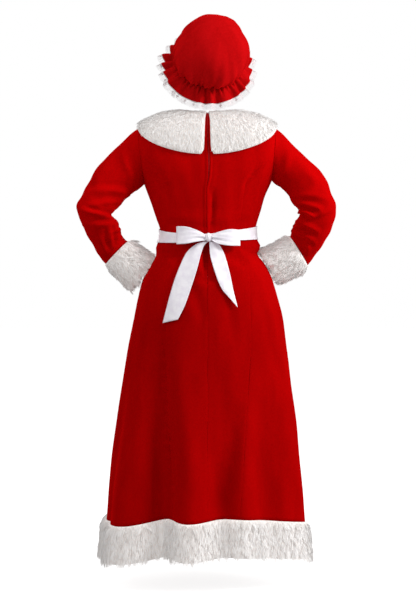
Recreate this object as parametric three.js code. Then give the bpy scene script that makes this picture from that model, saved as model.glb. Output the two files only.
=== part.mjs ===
// A christmas costume dress, as worn: a long red velvet princess-line dress with white fur at the
// collar, cuffs and hem, a white satin sash tied in a bow behind, and the matching mob cap.
// It keeps the hollow form that it has on its wearer, hands on hips.
// Millimetres, +Z up, +Y to the garment's back, +X to the wearer's left. Heights in the tables are
// above the floor the wearer stands on; the origin is in the neck opening, at shoulder height.

import * as THREE from "three";

const SHOULDER_HEIGHT = 1440;
const VELVET_THICK = 2;
const SATIN_THICK = 1.5;
const LACE_THICK = 1.2;
const SEAM_GAP = 0.3;
const FUR_PILE = 15;
const BACKING_THICK = 2;

// The dress surface, a row for each section. Below the arms a section is level. Above them the
// sides climb over the shoulders to the neck edge, so a row gives three heights.
const BODY = [
  { level: 70, side: 70, behind: 70, before: 70, left: 324, right: 288, back: 252, front: 242, square: 2, seam: 71 },
  { level: 215, side: 215, behind: 215, before: 215, left: 310, right: 277, back: 238, front: 230, square: 2, seam: 70 },
  { level: 300, side: 300, behind: 300, before: 300, left: 304, right: 274, back: 226, front: 219, square: 2, seam: 68.5 },
  { level: 400, side: 400, behind: 400, before: 400, left: 295, right: 270, back: 212, front: 205, square: 2, seam: 66.5 },
  { level: 510, side: 510, behind: 510, before: 510, left: 280, right: 268, back: 195, front: 188, square: 2, seam: 64.5 },
  { level: 640, side: 640, behind: 640, before: 640, left: 260, right: 257, back: 176, front: 166, square: 2, seam: 60.5 },
  { level: 720, side: 720, behind: 720, before: 720, left: 247, right: 247, back: 166, front: 153, square: 2, seam: 58 },
  { level: 810, side: 810, behind: 810, before: 810, left: 229, right: 235, back: 154, front: 139, square: 2, seam: 55.5 },
  { level: 870, side: 870, behind: 870, before: 870, left: 217, right: 220, back: 145, front: 129, square: 2, seam: 53.5 },
  { level: 940, side: 940, behind: 940, before: 940, left: 198, right: 199, back: 131, front: 119, square: 2, seam: 50 },
  { level: 975, side: 975, behind: 975, before: 975, left: 178, right: 182, back: 122, front: 114, square: 2, seam: 48.5 },
  { level: 1007, side: 1007, behind: 1007, before: 1007, left: 160, right: 160, back: 111, front: 109, square: 2.05, seam: 48 },
  { level: 1040, side: 1040, behind: 1040, before: 1040, left: 153, right: 153, back: 100, front: 104, square: 2.1, seam: 48 },
  { level: 1070, side: 1070, behind: 1070, before: 1070, left: 147, right: 150, back: 93, front: 98, square: 2.1, seam: 48.5 },
  { level: 1094, side: 1094, behind: 1094, before: 1094, left: 148, right: 150, back: 91, front: 97, square: 2.1, seam: 49.5 },
  { level: 1116, side: 1116, behind: 1116, before: 1116, left: 156, right: 155, back: 93, front: 101, square: 2.15, seam: 50.5 },
  { level: 1148, side: 1148, behind: 1148, before: 1148, left: 167, right: 165, back: 98, front: 111, square: 2.2, seam: 52 },
  { level: 1190, side: 1190, behind: 1190, before: 1190, left: 181, right: 177, back: 106, front: 127, square: 2.3, seam: 53.5 },
  { level: 1235, side: 1235, behind: 1235, before: 1235, left: 198, right: 197, back: 113, front: 134, square: 2.5, seam: 54 },
  { level: 1275, side: 1275, behind: 1270, before: 1266, left: 214, right: 212, back: 116, front: 130, square: 2.8, seam: 47 },
  { level: 1315, side: 1318, behind: 1305, before: 1298, left: 224, right: 222, back: 116, front: 120, square: 3, seam: 36.5 },
  { level: 1355, side: 1366, behind: 1338, before: 1323, left: 226, right: 224, back: 113, front: 109, square: 3, seam: 34 },
  { level: 1390, side: 1399, behind: 1371, before: 1344, left: 213, right: 211, back: 107, front: 99, square: 2.8, seam: 34 },
  { level: 1420, side: 1417, behind: 1399, before: 1359, left: 190, right: 189, back: 98, front: 92, square: 2.6, seam: 34 },
  { level: 1465, side: 1437, behind: 1423, before: 1373, left: 148, right: 148, back: 84, front: 85, square: 2.3, seam: 34 },
  { level: 1500, side: 1446, behind: 1437, before: 1381, left: 108, right: 108, back: 70, front: 79, square: 2.1, seam: 34 },
  { level: 1530, side: 1452, behind: 1446, before: 1387, left: 74, right: 74, back: 57, front: 74, square: 2, seam: 34 },
];
const HEM_LEVEL = 215;
const HEM_END_LEVEL = 97;
const NECK_LEVEL = 1530;

// Flutes of the skirt and bunching at the waist: where each is, round the body from the wearer's
// left side (0) by the back (90), how far it stands out (or in), how wide it is to each side of
// its line, and the heights where it fades out.
const FOLDS = [
  { angle: 20, lean: 2, depth: -9, width: 7, top: 930, full: 300 },
  { angle: 43, lean: 6, depth: 46, width: 19, top: 760, full: 190 },
  { angle: 63, lean: -10, depth: -58, width: 12, top: 900, full: 200 },
  { angle: 78, lean: -8, depth: 40, width: 12, top: 900, full: 200 },
  { angle: 97, lean: 8, depth: -24, width: 11, top: 640, full: 230 },
  { angle: 113, lean: 0, depth: 14, width: 10, top: 760, full: 260 },
  { angle: 129, lean: -3, depth: -20, width: 11, top: 700, full: 230 },
  { angle: 158, lean: -4, depth: 36, width: 17, top: 820, full: 210 },
  { angle: 176, lean: 0, depth: -8, width: 7, top: 900, full: 300 },
  { angle: 206, lean: 3, depth: -26, width: 13, top: 780, full: 210 },
  { angle: 232, lean: 4, depth: 32, width: 15, top: 820, full: 210 },
  { angle: 257, lean: 0, depth: -26, width: 13, top: 720, full: 210 },
  { angle: 282, lean: 0, depth: 26, width: 14, top: 780, full: 210 },
  { angle: 307, lean: -4, depth: -28, width: 13, top: 740, full: 210 },
  { angle: 332, lean: -3, depth: 26, width: 14, top: 820, full: 210 },
];
const ROLLS = [
  { angle: 180, spread: 62, height: 1038, reach: 17, depth: 11 },
  { angle: 180, spread: 50, height: 1012, reach: 12, depth: -5 },
  { angle: 0, spread: 48, height: 1034, reach: 16, depth: 6 },
  { angle: 90, spread: 60, height: 1116, reach: 16, depth: 4 },
];
// How far the hem hangs below or above its mean height.
const HEM_LINE = [
  { angle: 0, drop: -21 },
  { angle: 22, drop: -20 },
  { angle: 44, drop: -19 },
  { angle: 66, drop: 3 },
  { angle: 80, drop: -4 },
  { angle: 103, drop: 6 },
  { angle: 129, drop: -3 },
  { angle: 150, drop: -13 },
  { angle: 166, drop: -20 },
  { angle: 190, drop: -12 },
  { angle: 220, drop: -5 },
  { angle: 255, drop: 3 },
  { angle: 285, drop: -4 },
  { angle: 315, drop: 2 },
  { angle: 340, drop: -14 },
  { angle: 360, drop: -21 },
];
const HEM_LINE_FADE = 260;

// Each armhole is an oval on the dress surface; bottom and top are levels of it.
const ARMHOLE = {
  left: { bottom: 1229, top: 1418, spread: 34 },
  right: { bottom: 1240, top: 1418, spread: 34 },
};
const ARMHOLE_STEPS = 20;

// Sleeves, a row for each section: its two edges as seen from behind, how far back its middle
// lies, and half its depth. The last row is at the cuff.
const SLEEVES = {
  left: [
    { outerX: 236, outerZ: 1386, innerX: 208, innerZ: 1218, y: 2, depth: 68 },
    { outerX: 290, outerZ: 1334, innerX: 223, innerZ: 1208, y: 8, depth: 64 },
    { outerX: 336, outerZ: 1287, innerX: 247, innerZ: 1190, y: 18, depth: 61 },
    { outerX: 364, outerZ: 1238, innerX: 275, innerZ: 1157, y: 30, depth: 58 },
    { outerX: 385, outerZ: 1195, innerX: 291, innerZ: 1139, y: 41, depth: 56 },
    { outerX: 402, outerZ: 1157, innerX: 295, innerZ: 1127, y: 46, depth: 54 },
    { outerX: 391, outerZ: 1119, innerX: 280, innerZ: 1119, y: 43, depth: 54 },
    { outerX: 374, outerZ: 1077, innerX: 273, innerZ: 1104, y: 32, depth: 52 },
    { outerX: 352, outerZ: 1036, innerX: 269, innerZ: 1082, y: 18, depth: 49 },
    { outerX: 335, outerZ: 1004, innerX: 262, innerZ: 1064, y: 3, depth: 47 },
    { outerX: 316, outerZ: 982, innerX: 249, innerZ: 1052, y: -10, depth: 46 },
  ],
  right: [
    { outerX: 232, outerZ: 1385, innerX: 209, innerZ: 1230, y: 2, depth: 68 },
    { outerX: 284, outerZ: 1331, innerX: 223, innerZ: 1222, y: 8, depth: 64 },
    { outerX: 330, outerZ: 1289, innerX: 247, innerZ: 1200, y: 18, depth: 61 },
    { outerX: 363, outerZ: 1249, innerX: 263, innerZ: 1168, y: 30, depth: 58 },
    { outerX: 379, outerZ: 1203, innerX: 278, innerZ: 1150, y: 41, depth: 56 },
    { outerX: 394, outerZ: 1161, innerX: 283, innerZ: 1134, y: 46, depth: 54 },
    { outerX: 392, outerZ: 1127, innerX: 274, innerZ: 1116, y: 43, depth: 54 },
    { outerX: 381, outerZ: 1088, innerX: 265, innerZ: 1099, y: 32, depth: 52 },
    { outerX: 361, outerZ: 1048, innerX: 259, innerZ: 1085, y: 18, depth: 49 },
    { outerX: 337, outerZ: 1012, innerX: 260, innerZ: 1075, y: 3, depth: 47 },
    { outerX: 311, outerZ: 978, innerX: 256, innerZ: 1067, y: -10, depth: 46 },
  ],
};
const SLEEVE_ROWS = [0, 0.35, 1, 1.7, 2.5, 3.3, 4.2, 5, 5.6, 6.3, 7.3, 8.3, 9.5, 11];
const CUFFS = {
  left: [
    { outerX: 322.4, outerZ: 974.2, innerX: 241.6, innerZ: 1058.4, y: -11, depth: 55 },
    { outerX: 305, outerZ: 957, innerX: 227, innerZ: 1056, y: -15, depth: 61 },
    { outerX: 276, outerZ: 930, innerX: 199, innerZ: 1034, y: -22, depth: 63 },
    { outerX: 245, outerZ: 901, innerX: 168, innerZ: 1011, y: -30, depth: 61 },
    { outerX: 237, outerZ: 904, innerX: 165, innerZ: 1003, y: -32, depth: 55 },
  ],
  right: [
    { outerX: 315.6, outerZ: 968.4, innerX: 250.6, innerZ: 1074.8, y: -11, depth: 55 },
    { outerX: 298, outerZ: 952, innerX: 238, innerZ: 1068, y: -15, depth: 61 },
    { outerX: 266, outerZ: 935, innerX: 206, innerZ: 1050, y: -22, depth: 63 },
    { outerX: 231, outerZ: 921, innerX: 165, innerZ: 1030, y: -30, depth: 61 },
    { outerX: 224, outerZ: 926, innerX: 162, innerZ: 1024, y: -32, depth: 55 },
  ],
};

const PANEL_LEVELS = [215, 300, 400, 510, 640, 760, 870, 901, 905, 940, 975, 1007, 1036, 1066, 1094, 1130, 1180];
const SHOULDER_LEVELS = [1440, 1465, 1500, 1530];
const CENTRE_COLUMNS = 5;
const SIDE_COLUMNS = 10;
const FRONT_COLUMNS = 12;

const ZIP = { bottom: 905, width: 5, proud: 1.6, sunk: 1.8, slot: 2.8 };

const COLLAR = { backEdge: 1325, frontEdge: 1292, sideEdge: 1403, columns: 50, clearance: 1.4, overSleeve: 6 };
// The collar's fur from the neck edge (0) to its outer edge (1), and its half gap at the zip.
const COLLAR_ROWS = [
  { across: 0, pile: 5, gap: 4 },
  { across: 0.1, pile: 10, gap: 4.5 },
  { across: 0.25, pile: 13.5, gap: 6 },
  { across: 0.42, pile: 15, gap: 8 },
  { across: 0.6, pile: 15, gap: 8.5 },
  { across: 0.78, pile: 14, gap: 9.5 },
  { across: 0.94, pile: 11, gap: 12 },
  { across: 1, pile: 5, gap: 19 },
];
const HEM_FUR_ROWS = [
  { down: 0, pile: 5 },
  { down: 0.1, pile: 12 },
  { down: 0.5, pile: 16 },
  { down: 0.92, pile: 16 },
  { down: 1, pile: 8 },
];

// The sash round the waist: its middle height and half its width.
const SASH = [
  { angle: 0, middle: 1069.5, half: 22 },
  { angle: 50, middle: 1060, half: 15.5 },
  { angle: 90, middle: 1061, half: 11 },
  { angle: 130, middle: 1069, half: 17 },
  { angle: 180, middle: 1078.5, half: 21.5 },
  { angle: 230, middle: 1077, half: 23 },
  { angle: 270, middle: 1075, half: 23 },
  { angle: 310, middle: 1072, half: 23 },
  { angle: 360, middle: 1069.5, half: 22 },
];
const SASH_CLEARANCE = 2.2;

const KNOT = { x: -3, y: 108.5, z: 1061, rx: 9, ry: 9, rz: 13.5 };
// Bow loops from the knot out and back: x from the middle, y off the dress, height and half width.
const LOOPS = {
  left: [
    { x: 6.4, off: 8.5, z: 1061, half: 9 },
    { x: 32, off: 8.5, z: 1065, half: 17 },
    { x: 62, off: 11, z: 1067.5, half: 25 },
    { x: 86, off: 17, z: 1067.5, half: 27 },
    { x: 94, off: 23, z: 1067.5, half: 27 },
    { x: 88, off: 29, z: 1067.5, half: 27 },
    { x: 62, off: 29, z: 1067.5, half: 25.5 },
    { x: 32, off: 23, z: 1065.5, half: 17.5 },
    { x: 6.4, off: 16, z: 1061, half: 9 },
  ],
  right: [
    { x: -12.4, off: 8.5, z: 1061, half: 9 },
    { x: -36, off: 8.5, z: 1060, half: 18 },
    { x: -66, off: 11, z: 1060.5, half: 24 },
    { x: -91, off: 17, z: 1060, half: 24.5 },
    { x: -99, off: 23, z: 1060, half: 24.5 },
    { x: -93, off: 29, z: 1060, half: 24.5 },
    { x: -66, off: 29, z: 1060.5, half: 25 },
    { x: -36, off: 23, z: 1059.5, half: 19 },
    { x: -12.4, off: 16, z: 1061, half: 9 },
  ],
};
// Tails from the knot down: middle, half width across, how far the cut end slants, off the dress.
const TAILS = {
  left: [
    { x: 6, z: 1045.3, half: 7, slant: 0, off: 9 },
    { x: 24, z: 1034, half: 13, slant: 2, off: 8 },
    { x: 41, z: 1009, half: 21, slant: 4, off: 6 },
    { x: 56, z: 968, half: 25, slant: 6, off: 5 },
    { x: 72, z: 922, half: 26, slant: 7, off: 4.5 },
    { x: 90, z: 866, half: 24.5, slant: 8, off: 4.5 },
    { x: 110, z: 806, half: 23, slant: -5, off: 5 },
  ],
  right: [
    { x: -12.5, z: 1045.7, half: 7, slant: 0, off: 9 },
    { x: -20, z: 1034, half: 14, slant: -3, off: 8 },
    { x: -29, z: 1004, half: 20, slant: -5, off: 6 },
    { x: -44, z: 952, half: 22, slant: 1, off: 5 },
    { x: -56, z: 908, half: 21, slant: 10, off: 5 },
    { x: -67, z: 873, half: 22, slant: 26, off: 6 },
  ],
};

// The mob cap: its gathered line is an oval in a plane that leans from the nape up to the brow.
const CAP = {
  x: -2, y: 17.6, z: 1607.6, halfWidth: 95, halfLength: 112, mean: 112, lean: 52, swing: 4, topShift: -27,
  segments: 40, ruffle: 50, lace: 20, flare: 52, waves: 22, steps: 88, waveAtEdge: 9, napeCalm: 0.45,
};
const CAP_PROFILE = [
  { radius: 112, rise: 0 },
  { radius: 125, rise: 9 },
  { radius: 135, rise: 34 },
  { radius: 130, rise: 64 },
  { radius: 110, rise: 93 },
  { radius: 80, rise: 116 },
  { radius: 44, rise: 131 },
  { radius: 0, rise: 137 },
];

const rad = (degrees) => (degrees * Math.PI) / 180;
const clamp = (v, low, high) => Math.min(high, Math.max(low, v));
const ease = (v) => {
  const t = clamp(v, 0, 1);
  return t * t * (3 - 2 * t);
};
const mix = (a, b, t) => a + (b - a) * t;
const vec = (x, y, z) => new THREE.Vector3(x, y, z);

// The value of a column between the rows of a table, on a smooth curve through them.
function along(rows, key, at, column) {
  let i = 0;
  while (i < rows.length - 2 && at > rows[i + 1][key]) i += 1;
  const slope = (j) => {
    const a = rows[Math.max(j - 1, 0)];
    const b = rows[Math.min(j + 1, rows.length - 1)];
    return (b[column] - a[column]) / (b[key] - a[key]);
  };
  const [p, q] = [rows[i], rows[i + 1]];
  const span = q[key] - p[key];
  const t = clamp((at - p[key]) / span, 0, 1);
  const [t2, t3] = [t * t, t * t * t];
  return (
    (2 * t3 - 3 * t2 + 1) * p[column] +
    (t3 - 2 * t2 + t) * slope(i) * span +
    (3 * t2 - 2 * t3) * q[column] +
    (t3 - t2) * slope(i + 1) * span
  );
}

const turn = (degrees) => ((degrees % 360) + 360) % 360;
const apart = (a, b) => Math.abs(((turn(a - b) + 180) % 360) - 180);
const hemDrop = (angle) => along(HEM_LINE, "angle", turn(angle), "drop");
const dropped = (angle, level) => level + hemDrop(angle) * (1 - ease((level - HEM_LEVEL) / HEM_LINE_FADE));

function foldDepth(angle, level) {
  let depth = 0;
  for (const f of FOLDS) {
    const grown = ease((f.top - level) / (f.top - f.full));
    const line = f.angle + f.lean * ease((level - f.full) / (f.top - f.full));
    const away = apart(angle, line) / f.width;
    depth += f.depth * grown * Math.exp(-away * away);
  }
  for (const r of ROLLS) {
    const round = Math.max(0, 1 - (apart(angle, r.angle) / r.spread) ** 2);
    const up = (level - r.height) / r.reach;
    depth += r.depth * round * Math.exp(-up * up);
  }
  return depth;
}

// A point of the dress surface. Angle 0 is the wearer's left side, 90 the back, 270 the front.
function dressPoint(angle, level) {
  const at = (column) => along(BODY, "level", level, column);
  const [c, s] = [Math.cos(rad(angle)), Math.sin(rad(angle))];
  const n = at("square");
  const squared = (Math.abs(c) ** n + Math.abs(s) ** n) ** (-1 / n);
  const wide = at(c > 0 ? "left" : "right");
  const deep = at(s > 0 ? "back" : "front");
  const end = at(s > 0 ? "behind" : "before");
  const out = vec(c / wide, s / deep, 0).normalize();
  return vec(wide * squared * c, deep * squared * s, mix(end, at("side"), c * c)).addScaledVector(
    out,
    foldDepth(angle, level),
  );
}

function dressNormal(angle, level) {
  const [da, dl] = [0.5, 2];
  const round = dressPoint(angle + da, level).sub(dressPoint(angle - da, level));
  const up = dressPoint(angle, level + dl).sub(dressPoint(angle, level - dl));
  return round.cross(up).normalize();
}

const onDress = (angle, level, off) => dressPoint(angle, level).addScaledVector(dressNormal(angle, level), off);

// The angle that lies so many millimetres further round from this one.
function step(angle, level, distance) {
  const perDegree = dressPoint(angle + 0.5, level).distanceTo(dressPoint(angle - 0.5, level));
  return angle + distance / perDegree;
}

// The angle on the back of the dress at a distance x from its middle.
function backAngle(x, level) {
  let [low, high] = [0, 180];
  for (let i = 0; i < 40; i += 1) {
    const middle = (low + high) / 2;
    if (dressPoint(middle, level).x > x) low = middle;
    else high = middle;
  }
  return (low + high) / 2;
}

// A closed wall between two grids of points, rows by columns, facing out whichever way they run.
function wall(outer, inner, wraps = false) {
  const [rows, columns] = [outer.length, outer[0].length];
  const points = [...outer.flat(), ...inner.flat()];
  const at = (layer, r, c) => layer * rows * columns + r * columns + (c % columns);
  const faces = [];
  const quad = (a, b, c, d) => faces.push([a, b, c], [a, c, d]);
  const lastColumn = wraps ? columns : columns - 1;
  for (let c = 0; c < lastColumn; c += 1) {
    for (let r = 0; r < rows - 1; r += 1) {
      quad(at(0, r, c), at(0, r, c + 1), at(0, r + 1, c + 1), at(0, r + 1, c));
      quad(at(1, r, c), at(1, r + 1, c), at(1, r + 1, c + 1), at(1, r, c + 1));
    }
    quad(at(0, 0, c), at(1, 0, c), at(1, 0, c + 1), at(0, 0, c + 1));
    quad(at(0, rows - 1, c), at(0, rows - 1, c + 1), at(1, rows - 1, c + 1), at(1, rows - 1, c));
  }
  if (!wraps)
    for (let r = 0; r < rows - 1; r += 1) {
      quad(at(0, r, 0), at(0, r + 1, 0), at(1, r + 1, 0), at(1, r, 0));
      const c = columns - 1;
      quad(at(0, r, c), at(1, r, c), at(1, r + 1, c), at(0, r + 1, c));
    }
  const volume = faces.reduce((sum, [a, b, c]) => sum + points[a].dot(points[b].clone().cross(points[c])), 0);
  if (volume < 0) faces.forEach((f) => f.reverse());
  const geometry = new THREE.BufferGeometry();
  geometry.setAttribute("position", new THREE.Float32BufferAttribute(points.flatMap((p) => [p.x, p.y, p.z]), 3));
  geometry.setIndex(faces.flat());
  geometry.computeVertexNormals();
  return geometry;
}

// A wall of even thickness about a grid of points, for sheets that stand free.
function sheet(grid, thick, wraps = false) {
  const [rows, columns] = [grid.length, grid[0].length];
  const near = (r, c) => {
    const column = wraps ? (c + columns) % columns : clamp(c, 0, columns - 1);
    return grid[clamp(r, 0, rows - 1)][column];
  };
  const moved = (side) =>
    grid.map((row, r) =>
      row.map((p, c) => {
        const across = near(r, c + 1).clone().sub(near(r, c - 1));
        const down = near(r + 1, c).clone().sub(near(r - 1, c));
        return p.clone().addScaledVector(across.cross(down).normalize(), (side * thick) / 2);
      }),
    );
  return wall(moved(1), moved(-1), wraps);
}

const paint = (color, roughness) => new THREE.MeshStandardMaterial({ color, roughness, metalness: 0 });
const VELVET = () => paint(0xa80506, 0.85);
const FUR = () => paint(0xece7e3, 0.95);
const SATIN = () => paint(0xeae6ef, 0.4);
const LACE = () => paint(0xf1ebec, 0.8);
const ZIP_TAPE = () => paint(0xb90d12, 0.5);

const costume = new THREE.Group();
costume.position.z = -SHOULDER_HEIGHT;

function add(name, geometry, material) {
  const mesh = new THREE.Mesh(geometry, material);
  mesh.name = name;
  costume.add(mesh);
}

// Angles in the panels are counted from a side seam, positive towards the back.
const SIDES = { left: (a) => a, right: (a) => 180 - a };
const princess = (level) => along(BODY, "level", level, "seam");
const seamAbove = (hole) => Math.max(princess(hole.level), hole.angle + 0.7);

function armhole(side, at, shrink = 0) {
  const { bottom, top, spread } = ARMHOLE[side];
  return {
    level: (bottom + top) / 2 + ((top - bottom) / 2 - shrink) * Math.sin(rad(at)),
    angle: (spread - shrink / 2) * Math.cos(rad(at)),
  };
}

const quarter = (from, to) => {
  const step = 360 / ARMHOLE_STEPS;
  return Array.from({ length: Math.round((to - from) / step) + 1 }, (_, i) => from + i * step);
};

// A velvet panel from rows of two ends, each an angle round the dress and a level of it.
function panel(rows, columns) {
  const grid = (off) =>
    rows.map(({ from, to }) =>
      Array.from({ length: columns + 1 }, (_, i) => {
        const t = i / columns;
        const [angle, level] = [mix(from.angle, to.angle, t), mix(from.level, to.level, t)];
        return onDress(angle, dropped(angle, level), off);
      }),
    );
  return wall(grid(0), grid(-VELVET_THICK));
}

// Where a panel ends at a seam: half the seam's gap short of it, on the side that it comes from.
function seamEnd(angle, level, towards, gap = SEAM_GAP / 2) {
  return { angle: step(angle, level, towards * gap), level };
}

function sidePanel(side, sign) {
  const place = SIDES[side];
  const round = sign * (place(1) - place(0));
  const low = [...PANEL_LEVELS, ARMHOLE[side].bottom].map((level) => ({
    from: seamEnd(place(0), level, round),
    to: seamEnd(place(sign * princess(level)), level, -round),
  }));
  const high = quarter(-90, 0)
    .slice(1)
    .map((at) => {
      const hole = armhole(side, at);
      const edge = place(sign * hole.angle);
      const tip = seamAbove(hole);
      return { from: { angle: edge, level: hole.level }, to: seamEnd(place(sign * tip), hole.level, -round) };
    });
  return panel([...low, ...high], SIDE_COLUMNS);
}

// The edge of a centre panel from the hem up its princess seam, round the armhole and along the
// shoulder seam to the neck.
function centreEdge(side, sign) {
  const place = SIDES[side];
  const round = sign * (place(1) - place(0));
  const seam = PANEL_LEVELS.map((level) => seamEnd(place(sign * princess(level)), level, round));
  const beside = quarter(-90, 0).map((at) => {
    const hole = armhole(side, at);
    return seamEnd(place(sign * seamAbove(hole)), hole.level, round);
  });
  const hole = quarter(0, 90).slice(1).map((at) => {
    const { level, angle } = armhole(side, at);
    return at === 90 ? seamEnd(place(0), level, round) : { angle: place(sign * angle), level };
  });
  const shoulder = SHOULDER_LEVELS.map((level) => seamEnd(place(0), level, round));
  return [...seam, ...beside, ...hole, ...shoulder];
}

function zipSlot(level) {
  return level >= ZIP.bottom ? ZIP.slot : SEAM_GAP / 2;
}

for (const side of ["left", "right"]) {
  const towards = side === "left" ? -1 : 1;
  const rows = centreEdge(side, 1).map((from) => ({
    from,
    to: seamEnd(90, from.level, towards, zipSlot(from.level)),
  }));
  add(`back_centre_${side}`, panel(rows, CENTRE_COLUMNS), VELVET());
  add(`back_side_${side}`, sidePanel(side, 1), VELVET());
  add(`front_side_${side}`, sidePanel(side, -1), VELVET());
}

const frontLeft = centreEdge("left", -1);
const frontRight = centreEdge("right", -1);
add(
  "front_centre",
  panel(
    frontLeft.map((from, i) => ({ from, to: { angle: frontRight[i].angle - 360, level: frontRight[i].level } })),
    FRONT_COLUMNS,
  ),
  VELVET(),
);

// The closed zip in the centre back seam, from the neck to below the waist.
const zipLevels = [...PANEL_LEVELS.filter((l) => l >= ZIP.bottom), 1235, 1275, 1315, 1355, 1390, 1420, 1465, 1500, 1528];
const zipGrid = (off) =>
  zipLevels.map((level) =>
    [-1, 0, 1].map((c) => onDress(step(90, level, (c * ZIP.width) / 2), level, off - Math.abs(c) * 0.6)),
  );
add("zip", wall(zipGrid(ZIP.proud), zipGrid(-ZIP.sunk)), ZIP_TAPE());

// Rings of a sleeve or cuff. The ring angle is 90 at the outer edge, 0 at the back.
const ringAngles = quarter(-90, 270 - 360 / ARMHOLE_STEPS);

function section(side, row, at, inset = 0) {
  const mirror = side === "left" ? 1 : -1;
  const outer = vec(mirror * row.outerX, row.y, row.outerZ);
  const inner = vec(mirror * row.innerX, row.y, row.innerZ);
  const middle = outer.clone().add(inner).multiplyScalar(0.5);
  const reach = outer.clone().sub(middle);
  const half = reach.length();
  return middle
    .addScaledVector(reach, (Math.sin(rad(at)) * (half - inset)) / half)
    .add(vec(0, Math.cos(rad(at)) * (row.depth - inset), 0));
}

function sleeveGrid(side, inset) {
  const start = ringAngles.map((at) => {
    const { angle, level } = armhole(side, at, 0.6 + inset);
    return onDress(SIDES[side](angle), level, 0.2);
  });
  const rings = [start, ...SLEEVES[side].map((row) => ringAngles.map((at) => section(side, row, at, inset)))];
  return SLEEVE_ROWS.map((t) =>
    ringAngles.map((_, i) => {
      const rows = rings.map((ring, j) => ({ at: j, x: ring[i].x, y: ring[i].y, z: ring[i].z }));
      return vec(along(rows, "at", t, "x"), along(rows, "at", t, "y"), along(rows, "at", t, "z"));
    }),
  );
}

for (const side of ["left", "right"]) {
  add(`sleeve_${side}`, wall(sleeveGrid(side, 0), sleeveGrid(side, VELVET_THICK), true), VELVET());
  const cuff = (inset) => CUFFS[side].map((row, i, all) => {
    const end = i === 0 || i === all.length - 1;
    return ringAngles.map((at) => section(side, row, at, inset && inset - (end ? 5 : 0)));
  });
  add(`cuff_${side}`, wall(cuff(0), cuff(FUR_PILE), true), FUR());
}

// The round cape collar, in one length from one side of the zip round the front to the other.
function collarGrid(outside) {
  const { backEdge, frontEdge, sideEdge, columns, clearance, overSleeve } = COLLAR;
  return COLLAR_ROWS.map(({ across, pile, gap }) =>
    Array.from({ length: columns + 1 }, (_, i) => {
      const round = mix(90, 450, i / columns);
      const [c, s] = [Math.cos(rad(round)), Math.sin(rad(round))];
      const edge = mix(s > 0 ? backEdge : frontEdge, sideEdge, c * c);
      const level = mix(NECK_LEVEL, edge, across);
      const start = step(90, level, gap);
      const angle = mix(start, 540 - start, i / columns);
      const lift = clearance + overSleeve * c * c * ease((1450 - level) / 60);
      return onDress(angle, level, lift + (outside ? pile : 0));
    }),
  );
}
add("collar", wall(collarGrid(true), collarGrid(false)), FUR());

// The fur hem goes on from the panels' lower edge, at the same angles.
function hemAngles() {
  const fan = (from, to, count) => Array.from({ length: count }, (_, i) => mix(from, to, i / count));
  const seam = princess(HEM_LEVEL);
  return [
    ...fan(0, seam, SIDE_COLUMNS),
    ...fan(seam, 90, CENTRE_COLUMNS),
    ...fan(90, 180 - seam, CENTRE_COLUMNS),
    ...fan(180 - seam, 180, SIDE_COLUMNS),
    ...fan(180, 180 + seam, SIDE_COLUMNS),
    ...fan(180 + seam, 360 - seam, FRONT_COLUMNS),
    ...fan(360 - seam, 360, SIDE_COLUMNS),
  ];
}
const hemRing = (down, off) =>
  hemAngles().map((angle) =>
    onDress(angle, mix(HEM_LEVEL - SEAM_GAP, HEM_END_LEVEL, down) + hemDrop(angle), off),
  );
add(
  "hem_fur",
  wall(
    HEM_FUR_ROWS.map(({ down, pile }) => hemRing(down, pile)),
    HEM_FUR_ROWS.map(({ down }) => hemRing(down, -BACKING_THICK)),
    true,
  ),
  FUR(),
);

// The sash, an open band whose two ends meet behind the knot.
function sashGrid(off) {
  const columns = 60;
  return [-1, 0, 1].map((up) =>
    Array.from({ length: columns + 1 }, (_, i) => {
      const angle = mix(91, 449, i / columns);
      const middle = along(SASH, "angle", turn(angle), "middle");
      const half = along(SASH, "angle", turn(angle), "half");
      return onDress(angle, middle + up * half, off);
    }),
  );
}
add("sash", wall(sashGrid(SASH_CLEARANCE + SATIN_THICK), sashGrid(SASH_CLEARANCE)), SATIN());

const knot = new THREE.SphereGeometry(1, 14, 10);
knot.scale(KNOT.rx, KNOT.ry, KNOT.rz);
knot.translate(KNOT.x, KNOT.y, KNOT.z);
add("bow_knot", knot, SATIN());

for (const side of ["left", "right"]) {
  const loop = LOOPS[side].map(({ x, off, z, half }) =>
    [-1, 0, 1].map((up) => {
      const level = z + up * half;
      return vec(x, dressPoint(backAngle(x, level), level).y + off, level);
    }),
  );
  add(`bow_loop_${side}`, sheet(loop, SATIN_THICK), SATIN());

  const tail = TAILS[side].map(({ x, z, half, slant, off }) =>
    [-1, -0.33, 0.33, 1].map((across) => {
      const [px, pz] = [x + across * half, z + across * slant];
      return onDress(backAngle(px, pz), pz, off);
    }),
  );
  add(`bow_tail_${side}`, sheet(tail, SATIN_THICK), SATIN());
}

// The cap's own directions: up through the crown, and along its opening from nape to brow.
const capTurn = new THREE.Matrix4().makeRotationZ(rad(CAP.swing));
const capSide = vec(1, 0, 0).applyMatrix4(capTurn);
const capUp = vec(0, Math.sin(rad(CAP.lean)), Math.cos(rad(CAP.lean))).applyMatrix4(capTurn);
const capFore = vec(0, -Math.cos(rad(CAP.lean)), Math.sin(rad(CAP.lean))).applyMatrix4(capTurn);

function capPoint(x, fore, up) {
  const lifted = clamp(up / CAP_PROFILE[CAP_PROFILE.length - 1].rise, 0, 1);
  return vec(CAP.x, CAP.y, CAP.z)
    .addScaledVector(capSide, x + CAP.topShift * lifted)
    .addScaledVector(capFore, fore)
    .addScaledVector(capUp, up);
}

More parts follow.
